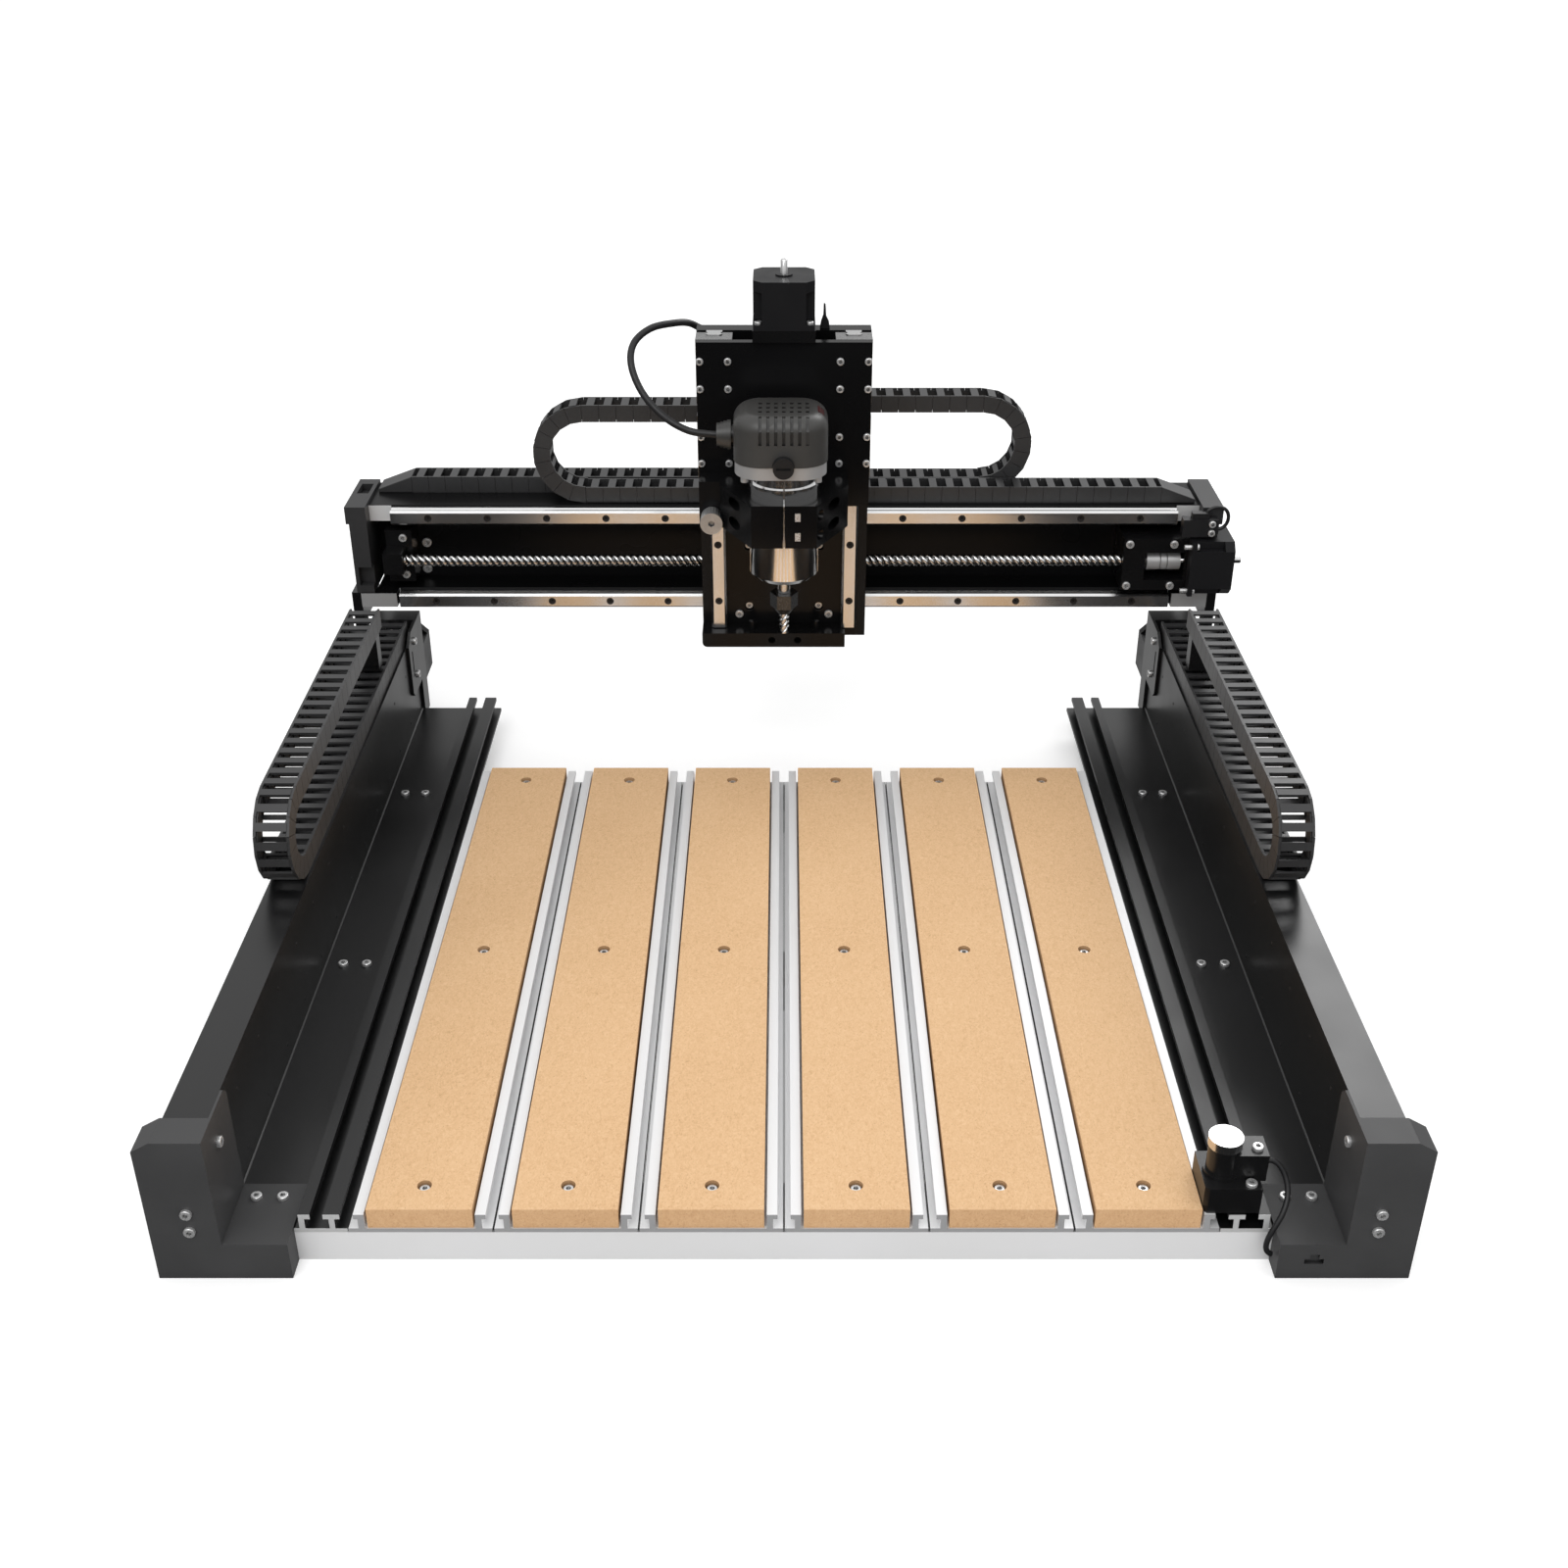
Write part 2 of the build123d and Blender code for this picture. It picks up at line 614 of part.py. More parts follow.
def rear_mount():
    """Bearing and motor bracket closing the left beam's back end, with a flange on the inner wall."""
    body = block(-REAR_OUT, -REAR_IN, BEAM_BACK + 0.2, REAR_BACK, REAR_BOTTOM, REAR_TOP)
    flange = [
        (430.0, 70.0), (436.0, 64.0), (BEAM_BACK + 1, 64.0), (BEAM_BACK + 1, REAR_TOP), (446.0, REAR_TOP),
        (430.0, 122.0),
    ]
    body = body + prism_x(flange, -WALL_IN + FIT, -REAR_IN)
    body = body - block(-WALL_IN, -REAR_IN + 1, 441.0, 445.0, 84.0, 112.0)
    body = body - rod((-Y_SCREW_X, 480, Y_SCREW_Z), (-Y_SCREW_X, 501, Y_SCREW_Z), SLEEVE_BORE)
    body = body - rod((-Y_SCREW_X, 475, Y_SCREW_Z), (-Y_SCREW_X, 482, Y_SCREW_Z), JOURNAL_RADIUS + RUNNING)
    holes = [screw_hole((-REAR_IN, REAR_SCREW_Y, z), (1, 0, 0), 10) for z in REAR_SCREW_Z]
    holes.extend(motor_on_y() * hole for hole in motor_screw_holes())
    return cut_all(body, holes)


def motor_on_y():
    """Left Y motor: face against the rear mount, body behind it."""
    return Pos(-Y_SCREW_X, REAR_BACK, Y_SCREW_Z) * Rot(90, 0, 0)


def y_drive():
    """Left ball screw, its coupler and the motor's shaft."""
    x = -Y_SCREW_X
    z = Y_SCREW_Z
    shaft = rod((x, Y_SCREW_FRONT, z), (x, 472, z), SCREW_RADIUS)
    shaft = shaft + rod((x, 472, z), (x, 489, z), JOURNAL_RADIUS)
    motor_shaft = rod((x, 491, z), (x, REAR_BACK + MOTOR_LENGTH + 12, z), MOTOR_SHAFT_RADIUS)
    sleeve = rod((x, 483, z), (x, 499.5, z), SLEEVE_RADIUS)
    return shaft + motor_shaft + sleeve


# ================================================================ gantry
def x_beam():
    """Hollow C-shaped gantry beam with its ball-screw recess facing forwards."""
    body = block(-GANTRY_END, GANTRY_END, GANTRY_FRONT, GANTRY_BACK, GANTRY_BOTTOM, GANTRY_TOP)
    over = GANTRY_END + 1
    recess = block(-over, over, GANTRY_FRONT - 1, RECESS_BACK, RECESS_BOTTOM, RECESS_TOP)
    cavity = block(-over, over, RECESS_BACK + 4, GANTRY_BACK - 4, GANTRY_BOTTOM + 5, GANTRY_TOP - 5)
    upper = block(-over, over, GANTRY_FRONT + 6, RECESS_BACK, RECESS_TOP + 4, GANTRY_TOP - 5)
    lower = block(-over, over, GANTRY_FRONT + 6, RECESS_BACK, GANTRY_BOTTOM + 5, RECESS_BOTTOM - 4)
    holes = [on_x(z) * rail_screw_hole(x) for z in X_RAIL_Z for x in x_rail_holes()]
    holes.extend(screw_hole((x, RECESS_BACK, z), (0, -1, 0), 3) for x, z in RECESS_SCREWS)
    return cut_all(body, [recess, cavity, upper, lower] + holes)


def x_rail_holes():
    """X positions of the gantry rail holes, one of them central."""
    return [i * RAIL_PITCH for i in range(-6, 7)]


def x_rail(z):
    """One gantry rail."""
    return on_x(z) * rail(2 * X_RAIL_END, -6 * RAIL_PITCH)


def gantry_end():
    """Left end block of the gantry with a lip at the top and a pocket at the foot."""
    body = block(-END_OUT + 3, -GANTRY_END, END_FRONT, GANTRY_BACK, END_BOTTOM, END_TOP)
    body = body + block(-END_OUT, -GANTRY_END, END_FRONT, GANTRY_BACK, 247.0, END_TOP)
    low_pocket = block(-END_OUT + 7, -GANTRY_END + 1, END_FRONT - 1, END_FRONT + 9, 180.0, 200.0)
    return body - low_pocket


def top_pocket():
    """Pocket in the top of the left end block."""
    return block(-END_OUT + 5, -GANTRY_END - 4, 498.0, 526.0, END_TOP - 7, END_TOP + 1)


def motor_relief():
    """Room for the X motor in the right end block."""
    half = MOTOR_SIZE / 2 + 1
    low = X_SCREW_Z - half
    high = X_SCREW_Z + half
    return block(GANTRY_END - 1, END_OUT + 1, END_FRONT - 1, X_SCREW_Y + half, low, high)


def y_carriage():
    """Left upright: a plate outside the beam, with a foot for the gantry and a cable-chain arm."""
    outline = [
        (UPRIGHT_FRONT, UPRIGHT_BOTTOM), (475.5, UPRIGHT_BOTTOM), (475.5, 138.0), (GANTRY_BACK, 138.0),
        (GANTRY_BACK, END_BOTTOM), (END_FRONT, END_BOTTOM), (END_FRONT, UPRIGHT_TOP),
        (UPRIGHT_FRONT, UPRIGHT_TOP),
    ]
    body = prism_x(outline, -CARRIAGE_OUT, -CARRIAGE_IN)
    body = body + block(-CARRIAGE_IN, -400.0, END_FRONT, GANTRY_FRONT - 0.2, 156.0, END_BOTTOM - 1)
    body = body + block(-CARRIAGE_OUT, -CARRIAGE_IN, ARM_FRONT, ARM_BACK + 14, 110.0, ARM_TOP)
    body = body + block(-CARRIAGE_OUT, -Y_CHAIN_IN - 4, ARM_FRONT, ARM_BACK, ARM_TOP - 8, ARM_TOP)
    body = body + block(-Y_CHAIN_OUT + 4, -Y_CHAIN_IN - 4, ARM_FRONT, ARM_BACK, ARM_TOP - 1, 184.5)
    holes = [
        screw_hole((-CARRIAGE_OUT, y, z), (-1, 0, 0), 16, shank_radius=THIN_SHANK)
        for y, z in block_bolts(Y_BLOCK_Y, Y_RAIL_Z)
    ]
    return cut_all(body, holes)


def y_carriage_screws():
    """Screws fixing the left plate to its four blocks."""
    return [
        screw((-CARRIAGE_OUT, y, z), (-1, 0, 0), 16, shank_radius=THIN_SHANK)
        for y, z in block_bolts(Y_BLOCK_Y, Y_RAIL_Z)
    ]


def y_nut():
    """Left ball nut housing between the two rows of blocks, bolted to the plate."""
    body = block(-CARRIAGE_IN + FIT, -409.0, 400.0, 440.0, 60.4, 79.6)
    bore = rod((-Y_SCREW_X, 399, Y_SCREW_Z), (-Y_SCREW_X, 441, Y_SCREW_Z), SCREW_RADIUS + RUNNING)
    return body - bore


def x_bearing():
    """Floating bearing at the ball screw's left end: a flange set back in the recess, a housing in front."""
    body = block(-408.0, -381.0, BEARING_FRONT, RECESS_BACK - FIT, 179.0, 235.0)
    body = body + block(-408.0, -388.0, MOUNT_FRONT, BEARING_FRONT + 1, X_SCREW_Z - 11, X_SCREW_Z + 11)
    bore = rod((-409, X_SCREW_Y, X_SCREW_Z), (-387, X_SCREW_Y, X_SCREW_Z), JOURNAL_RADIUS + RUNNING)
    holes = [screw_hole((BEARING_SCREW_X, BEARING_FRONT, z), (0, -1, 0), 40) for z in BEARING_SCREW_Z]
    return cut_all(body - bore, holes)


def x_mount_points():
    """X and Z of the four screws in the X motor mount's front face."""
    return [(x, z) for x in (350.0, 394.7) for z in (184.2, 229.2)]


def x_motor_mount():
    """Fixed bearing and motor bracket with a window onto the coupler."""
    body = block(X_MOUNT_IN, X_MOTOR_FACE, MOUNT_FRONT, RECESS_BACK - FIT, 179.0, 234.6)
    window = block(367.0, 407.0, MOUNT_FRONT - 1, 486.0, X_SCREW_Z - 17, X_SCREW_Z + 13)
    bore = rod((344, X_SCREW_Y, X_SCREW_Z), (411, X_SCREW_Y, X_SCREW_Z), JOURNAL_RADIUS + RUNNING)
    sleeve = rod((366, X_SCREW_Y, X_SCREW_Z), (411, X_SCREW_Y, X_SCREW_Z), SLEEVE_BORE)
    holes = [screw_hole((x, MOUNT_FRONT, z), (0, -1, 0), 60) for x, z in x_mount_points()]
    holes.extend(motor_on_x() * hole for hole in motor_screw_holes())
    return cut_all(body, [window, bore, sleeve] + holes)


def motor_on_x():
    """X motor: face against the mount, body to the right."""
    return Pos(X_MOTOR_FACE, X_SCREW_Y, X_SCREW_Z) * Rot(0, -90, 0)


def x_drive():
    """X ball screw with its journals, and the motor's shaft."""
    y = X_SCREW_Y
    z = X_SCREW_Z
    shaft = rod((X_SCREW_START, y, z), (X_SCREW_STOP, y, z), SCREW_RADIUS)
    shaft = shaft + rod((-407, y, z), (383, y, z), JOURNAL_RADIUS)
    motor_shaft = rod((X_SHAFT_START, y, z), (X_MOTOR_FACE + MOTOR_LENGTH + 12, y, z), MOTOR_SHAFT_RADIUS)
    return [shaft, motor_shaft]


def x_coupler():
    """Coupler seen through the mount's window."""
    y = X_SCREW_Y
    z = X_SCREW_Z
    start, stop = X_COUPLER
    body = coupler((start, y, z), (stop, y, z))
    plug = rod((X_SHAFT_START, y, z), (stop, y, z), JOURNAL_RADIUS)
    plug = plug - rod((X_SHAFT_START - 1, y, z), (stop + 1, y, z), MOTOR_SHAFT_RADIUS)
    return body + plug


def limit_switch():
    """Limit switch box at the gantry's right end, with its short cable loop."""
    box = block(401.0, 436.0, SWITCH_FRONT, END_FRONT - FIT, 238.0, 256.0)
    gland = block(410.0, 427.0, 448.5, 457.0, 255.0, 262.0)
    loop = [(424.0, 258.5), (433.0, 267.0), (443.0, 265.0), (447.0, 254.0), (443.0, 246.0), (434.0, 245.0)]
    body = box + gland + tube_along([(x, SWITCH_CABLE_Y, z) for x, z in loop], SWITCH_CABLE_RADIUS)
    return cut_all(body, limit_switch_holes())


def limit_switch_holes():
    """Holes for the switch's two screws, through the box and into the right end block."""
    return [screw_hole((SWITCH_SCREW_X, SWITCH_FRONT, z), (0, -1, 0), 20) for z in SWITCH_SCREW_Z]


# ================================================================ X carriage
def x_plate():
    """X carriage plate with rear pads for the blocks, a cable-chain shelf and threads for the Z rails."""
    body = block(-X_PLATE_HALF, X_PLATE_HALF, X_PLATE_FRONT, X_PLATE_BACK, X_PLATE_BOTTOM, X_PLATE_TOP)
    pad_back = GANTRY_FRONT - BLOCK_RISE
    for z in X_RAIL_Z:
        body = body + block(-80, 80, X_PLATE_BACK, pad_back, z - 17, z + 17)
    body = body + block(-25, 25, X_PLATE_BACK, 538.0, 340.0, 346.0)
    body = body + block(-25, 25, X_PLATE_BACK, 452.0, 320.0, 340.0)
    holes = [on_z(x) * rail_screw_hole(z) for x in (-Z_RAIL_X, Z_RAIL_X) for z in z_rail_holes()]
    holes.extend(screw_hole((x, X_PLATE_FRONT, BOTTOM_SCREW_Z), (0, -1, 0), 14) for x in BOTTOM_SCREW_X)
    for x, z in x_block_bolts():
        holes.append(screw_hole((x, X_PLATE_FRONT + 6, z), (0, -1, 0), 29, shank_radius=THIN_SHANK))
        holes.append(rod((x, X_PLATE_FRONT - 1, z), (x, X_PLATE_FRONT + 6, z), 4.4))
    return cut_all(body, holes)


def x_block_bolts():
    """X and Z of the screws from the carriage plate into the X blocks."""
    return [(x, z) for x, z in block_bolts(X_BLOCK_X, X_RAIL_Z) if abs(abs(x) - Z_RAIL_X) > 12]


def z_rail_holes():
    """Z positions of the Z rail holes."""
    return [Z_RAIL_HOLE + i * RAIL_PITCH for i in range(5)]


def z_rail(x):
    """One upright rail."""
    length = Z_RAIL_TOP - Z_RAIL_BOTTOM
    middle = (Z_RAIL_TOP + Z_RAIL_BOTTOM) / 2
    return on_z(x) * Pos(middle, 0, 0) * rail(length, Z_RAIL_HOLE - middle)


def x_nut():
    """X ball nut housing behind the carriage plate."""
    body = block(-22, 22, X_PLATE_BACK + FIT, GANTRY_FRONT - 1, X_SCREW_Z - 16, X_SCREW_Z + 16)
    bore = rod((-23, X_SCREW_Y, X_SCREW_Z), (23, X_SCREW_Y, X_SCREW_Z), SCREW_RADIUS + RUNNING)
    return body - bore


def bottom_plate():
    """Lower bearing plate of the Z axis, with a rounded lower-left corner, two front holes and two pins."""
    body = block(-82.0, 61.0, BOTTOM_PLATE_FRONT, X_PLATE_FRONT - FIT, 142.0, BOTTOM_PLATE_TOP)
    corner = body.edges().filter_by(Axis.Y).sort_by(Axis.Z)[:2].sort_by(Axis.X)[0]
    body = fillet([corner], 5.0)
    bore = rod((0, Z_SCREW_Y, 148), (0, Z_SCREW_Y, 158), JOURNAL_RADIUS + RUNNING)
    for x in BOTTOM_HOLE_X:
        body = body - rod((x, BOTTOM_PLATE_FRONT - 1, 149.5), (x, BOTTOM_PLATE_FRONT + 10, 149.5), 3.6)
    for x in (-32.0, 32.0):
        body = body + rod((x, Z_SCREW_Y, BOTTOM_PLATE_TOP - 1), (x, Z_SCREW_Y, 165.0), 3.2)
    return body - bore


def z_motor_mount():
    """Plate over the top of the carriage that holds the Z motor."""
    body = block(-29.0, 29.0, 375.8, X_PLATE_BACK, X_PLATE_TOP + 0.1, MOTOR_MOUNT_TOP)
    sleeve = rod((0, Z_SCREW_Y, 450), (0, Z_SCREW_Y, 468), SLEEVE_BORE)
    holes = [motor_on_z() * hole for hole in motor_screw_holes()]
    return cut_all(body - sleeve, holes)


def motor_on_z():
    """Z motor: face down on its mount."""
    return Pos(0, Z_SCREW_Y, MOTOR_MOUNT_TOP) * Rot(180, 0, 0)


def z_drive():
    """Z ball screw, its coupler and the motor's shaft."""
    y = Z_SCREW_Y
    screw_part = rod((0, y, 158.5), (0, y, 432), SCREW_RADIUS)
    screw_part = screw_part + rod((0, y, 149), (0, y, 447), JOURNAL_RADIUS)
    sleeve = rod((0, y, 434), (0, y, 466), SLEEVE_RADIUS)
    shaft = rod((0, y, 449), (0, y, MOTOR_MOUNT_TOP + MOTOR_LENGTH + 13), MOTOR_SHAFT_RADIUS)
    return screw_part + sleeve + shaft


# ================================================================ Z carriage
def z_block_bolts():
    """X and Z of the screws from the Z plate into its blocks."""
    return block_bolts((-Z_RAIL_X, Z_RAIL_X), Z_BLOCK_Z)


def z_plate():
    """Z plate that carries the router."""
    body = block(-Z_PLATE_HALF, Z_PLATE_HALF, Z_PLATE_FRONT, Z_PLATE_BACK, Z_PLATE_BOTTOM, Z_PLATE_TOP)
    holes = [
        screw_hole((x, Z_PLATE_FRONT, z), (0, -1, 0), 15, shank_radius=THIN_SHANK)
        for x, z in z_block_bolts()
    ]
    holes.extend(screw_hole((x, Z_PLATE_FRONT, z), (0, -1, 0), 8) for x, z in mount_bolts())
    return cut_all(body, holes)


def mount_bolts():
    """X and Z of the four screws that hold the router mount to the Z plate."""
    return [(x, z) for x in (-MOUNT_SCREW_X, MOUNT_SCREW_X) for z in MOUNT_SCREW_Z]


def z_nut():
    """Z ball nut housing behind the Z plate."""
    body = block(-20, 20, Z_PLATE_BACK + FIT, X_PLATE_FRONT - 0.6, 368.0, 402.0)
    bore = rod((0, Z_SCREW_Y, 367), (0, Z_SCREW_Y, 403), SCREW_RADIUS + RUNNING)
    return body - bore


def router_mount():
    """Split clamp round the router, with a wing for the thumb knob."""
    back = Z_PLATE_FRONT - FIT
    outline = [
        (-MOUNT_HALF, back), (-MOUNT_HALF, 345.0), (-MOUNT_NOSE, MOUNT_FACE), (MOUNT_NOSE, MOUNT_FACE),
        (MOUNT_HALF, 345.0), (MOUNT_HALF, back),
    ]
    body = prism_z(outline, MOUNT_BOTTOM, MOUNT_TOP)
    body = body + block(-80.0, -58.0, 353.0, back, 286.0, MOUNT_TOP)
    body = body - rod((0, ROUTER_Y, 280), (0, ROUTER_Y, 340), CAN_RADIUS + 0.05)
    body = body - block(-1.0, 1.0, 288.0, 304.0, 280.0, 340.0)
    for z in CLAMP_SCREW_Z:
        body = body - rod((-16, CLAMP_SCREW_Y, z), (40, CLAMP_SCREW_Y, z), SHANK_RADIUS + FIT)
        body = body - rod((26, CLAMP_SCREW_Y, z), (60, CLAMP_SCREW_Y, z), 5.2)
        body = body - block(9.5, 15.5, 288.0, 300.5, z - 4.2, z + 4.2)
    for x, z in mount_bolts():
        body = body - rod((x, 200, z), (x, 374, z), 5.4)
        body = body - rod((x, 370, z), (x, 390, z), SHANK_RADIUS + FIT)
    body = body - rod((KNOB_X, 330, KNOB_Z), (KNOB_X, 352.8, KNOB_Z), 11.5)
    return body - rod((KNOB_X, 350, KNOB_Z), (KNOB_X, 370, KNOB_Z), 3.0 + RUNNING)


def clamp_screw(z):
    """Cross screw of the clamp with its square nut."""
    bolt = screw((26, CLAMP_SCREW_Y, z), (1, 0, 0), 38)
    nut = block(10.0, 15.0, 289.0, 300.0, z - 3.9, z + 3.9)
    return bolt + nut


def thumb_knob():
    """Knurled knob on a threaded stem."""
    grip = rod((KNOB_X, 335, KNOB_Z), (KNOB_X, 352.5, KNOB_Z), KNOB_RADIUS)
    for i in range(24):
        angle = 2 * math.pi * i / 24
        x = KNOB_X + 10.9 * math.cos(angle)
        z = KNOB_Z + 10.9 * math.sin(angle)
        grip = grip - rod((x, 337, z), (x, 351, z), 0.9)
    socket = Plane(origin=(KNOB_X, 338, KNOB_Z), z_dir=(0, -1, 0)) * RegularPolygon(3.2, 6)
    grip = grip - extrude(socket, 4)
    return grip + rod((KNOB_X, 352, KNOB_Z), (KNOB_X, 368, KNOB_Z), 3.0)


def router_can():
    """Steel motor can with a stepped collar above the clamp and a hole for the spindle."""
    body = rod((0, ROUTER_Y, CAN_BOTTOM), (0, ROUTER_Y, 340), CAN_RADIUS)
    body = body + rod((0, ROUTER_Y, 340), (0, ROUTER_Y, CAN_TOP), CAN_RADIUS - 1.5)
    body = body + rod((0, ROUTER_Y, 338), (0, ROUTER_Y, 341), CAN_RADIUS + 0.9)
    lower = body.edges().group_by(Axis.Z)[0]
    body = chamfer(lower, 5.0)
    body = body + rod((0, ROUTER_Y, 240), (0, ROUTER_Y, CAN_BOTTOM), 11.0)
    return body - rod((0, ROUTER_Y, 230), (0, ROUTER_Y, 262), 6.0 + RUNNING)


def head_outline(inset):
    """Plan outline of the router's head: a rounded rectangle."""
    width = HEAD_RIGHT - HEAD_LEFT - 2 * inset
    depth = HEAD_BACK - HEAD_FRONT - 2 * inset
    centre = Pos((HEAD_RIGHT + HEAD_LEFT) / 2, (HEAD_BACK + HEAD_FRONT) / 2)
    return centre * RectangleRounded(width, depth, HEAD_CORNER - inset)


def router_band():
    """Light metal bearing housing between the can and the head, with four screw lugs."""
    body = extrude(Plane.XY.offset(CAN_TOP + 0.1) * head_outline(1.0), BAND_TOP - CAN_TOP - 0.2)
    lugs = [(-36.0, 306.0), (31.0, 306.0), (-36.0, 354.0), (31.0, 354.0)]
    for x, y in lugs:
        body = body + rod((x, y, 348.5), (x, y, CAN_TOP + 1), 3.4)
    return body - brush_seat()


def brush_seat():
    """Round seat for the brush cap, cut into the band and the head."""
    return rod((BRUSH_X, 280, BRUSH_Z), (BRUSH_X, 301, BRUSH_Z), 9.8)


def router_head():
    """Plastic head with vent holes, a switch pocket and a side socket for the cord."""
    body = extrude(Plane.XY.offset(BAND_TOP) * head_outline(0.0), HEAD_TOP - BAND_TOP)
    top = body.edges().group_by(Axis.Z)[-1]
    body = fillet(top, HEAD_ROUNDING)
    vents = []
    for i in range(VENT_COUNT):
        x = VENT_START + i * VENT_PITCH
        for y in VENT_ROWS:
            vents.append(block(x - 1.6, x + 1.6, y - 2.2, y + 2.2, HEAD_TOP - VENT_DEPTH, HEAD_TOP + 1))
        vents.append(front_flute(x))
    pocket = rod((SWITCH_X, 317.5, SWITCH_Z), (SWITCH_X, 334.5, SWITCH_Z), SWITCH_RADIUS + RUNNING)
    socket = rod((-50.0, ROUTER_Y, CORD_Z), (-40.0, ROUTER_Y, CORD_Z), 9.0 + FIT)
    return cut_all(body, vents + [pocket, socket, brush_seat()])


def front_flute(x):
    """Groove down the head's front, following its rounded shoulder."""
    outer = HEAD_FRONT - 7
    floor = HEAD_FRONT + 2.4
    shoulder = HEAD_FRONT + 11
    outline = [
        (outer, HEAD_TOP - 24), (floor, HEAD_TOP - 24), (floor, HEAD_TOP - 12), (shoulder, HEAD_TOP - 2),
        (shoulder, HEAD_TOP + 1), (outer, HEAD_TOP + 1),
    ]
    return prism_x(outline, x - 1.4, x + 1.4)


def power_switch():
    """Rocker in the head's corner: a drum with two flats that turns about its own axis."""
    drum = rod((SWITCH_X, 318.0, SWITCH_Z), (SWITCH_X, 334.0, SWITCH_Z), SWITCH_RADIUS)
    facet = Rot(0, -45, 0) * Pos(SWITCH_RADIUS - 0.2, 0, 0) * Box(2.4, 40, 7)
    return drum - Pos(SWITCH_X, 326.0, SWITCH_Z) * facet


def brush_cap():
    """Slotted brush cap on the front of the head."""
    body = rod((BRUSH_X, 285, BRUSH_Z), (BRUSH_X, 300.5, BRUSH_Z), 9.6)
    return body - block(-7.0, 6.0, 284.0, 286.6, 366.4, 368.6)


def strain_relief():
    """Stepped boot where the cord enters the head."""
    body = rod((-50, ROUTER_Y, CORD_Z), (-41, ROUTER_Y, CORD_Z), 9.0)
    for i in range(4):
        start = -61.5 + i * 3.2
        body = body + rod((start, ROUTER_Y, CORD_Z), (start + 3.5, ROUTER_Y, CORD_Z), 10.6 + 0.9 * i)
    return body - rod((-63, ROUTER_Y, CORD_Z), (-46, ROUTER_Y, CORD_Z), CORD_RADIUS + 2 * FIT)


def router_cord():
    """Power cord from the boot, round the left side and up to the back of the carriage."""
    points = [
        (-47, ROUTER_Y, CORD_Z), (-56, ROUTER_Y, CORD_Z), (-65, ROUTER_Y, CORD_Z), (-88, 337.5, 386.2),
        (-111.2, 345, 397.7), (-130, 356, 416.3),
        (-140, 370, 437.6), (-137.8, 385, 453.3), (-123.2, 402, 462.1), (-103, 420, 462), (-90, 437, 457.5),
        (-79, 446, 450),
    ]
    return tube_along(points, CORD_RADIUS)


def collet():
    """Spindle nose and hexagonal collet nut."""
    shaft = rod((0, ROUTER_Y, 222), (0, ROUTER_Y, 261), 6.0)
    nut = extrude(Plane.XY.offset(213) * Pos(0, ROUTER_Y) * RegularPolygon(11.5, 6, major_radius=False), 14)
    cone = Pos(0, ROUTER_Y, 209.5) * Cone(6.5, 11.4, 7)
    body = shaft + nut + cone
    return body - rod((0, ROUTER_Y, 200), (0, ROUTER_Y, 240), 3.17)


def cutter():
    """Straight-shank cutter."""
    return rod((0, ROUTER_Y, TIP_Z), (0, ROUTER_Y, 240), 3.17)


# ================================================================ tool-length probe
def probe_base():
    """Base block, upright body and cable side block, bored for the plunger."""
    body = block(291.5, 331.0, -313.0, -273.0, POST_TOP, 63.0)
    edge = body.edges().filter_by(Axis.Z).sort_by(lambda e: e.center().X + e.center().Y)[0]
    body = chamfer([edge], 3.0)
    body = body + rod((PROBE_X, PROBE_Y, 62), (PROBE_X, PROBE_Y, 90), 11.2)
    body = body + rod((PROBE_X, PROBE_Y, 62), (PROBE_X, PROBE_Y, 66), 13.0)
    body = body + block(PROBE_X, 335.0, -303.0, -282.0, 62.0, 84.5)
    body = body - rod((PROBE_X, PROBE_Y, 70), (PROBE_X, PROBE_Y, 91), 4.0 + RUNNING)
    body = body - rod((PROBE_X, PROBE_Y, 83.6), (PROBE_X, PROBE_Y, 95), 12.2)
    core = rod((PROBE_X, PROBE_Y, 83.6), (PROBE_X, PROBE_Y, 90), 11.2)
    core = core - rod((PROBE_X, PROBE_Y, 70), (PROBE_X, PROBE_Y, 91), 4.0 + RUNNING)
    body = body + core
    holes = [screw_hole(at, (0, 0, 1), 10) for at in probe_screw_points()]
    return cut_all(body, holes)


def probe_screw_points():
    """Under-head points of the probe's two screws."""
    return [(328.5, -295.0, 84.5), (324.0, -307.8, 63.0)]


def probe_button():
    """Cup-shaped measuring face on a plunger."""
    cup = rod((PROBE_X, PROBE_Y, 86.8), (PROBE_X, PROBE_Y, 94), 12.0)
    cup = cup - rod((PROBE_X, PROBE_Y, 80), (PROBE_X, PROBE_Y, 93.2), 11.2 + 0.2)
    return cup + rod((PROBE_X, PROBE_Y, 74), (PROBE_X, PROBE_Y, 94), 4.0)


def probe_cable():
    """Cable from the probe's side block down to the right cap."""
    points = [
        (337.2, -293, 72), (341, -293.5, 72), (349, -299, 64), (350, -309, 52), (344, -318, 40),
        (337.5, -322, 28), (336.5, -324, 18), (340.2, -324, 14),
    ]
    return tube_along(points, 2.0)


# ================================================================ cable chains
def chain_run(x0, x1, y0, y1, z0, z1, along):
    """Straight cable chain: an open-ended channel with closed walls."""
    body = block(x0, x1, y0, y1, z0, z1)
    w = CHAIN_WALL
    if along == "x":
        return body - block(x0 - 1, x1 + 1, y0 + w, y1 - w, z0 + w, z1 - w)
    return body - block(x0 + w, x1 - w, y0 - 1, y1 + 1, z0 + w, z1 - w)


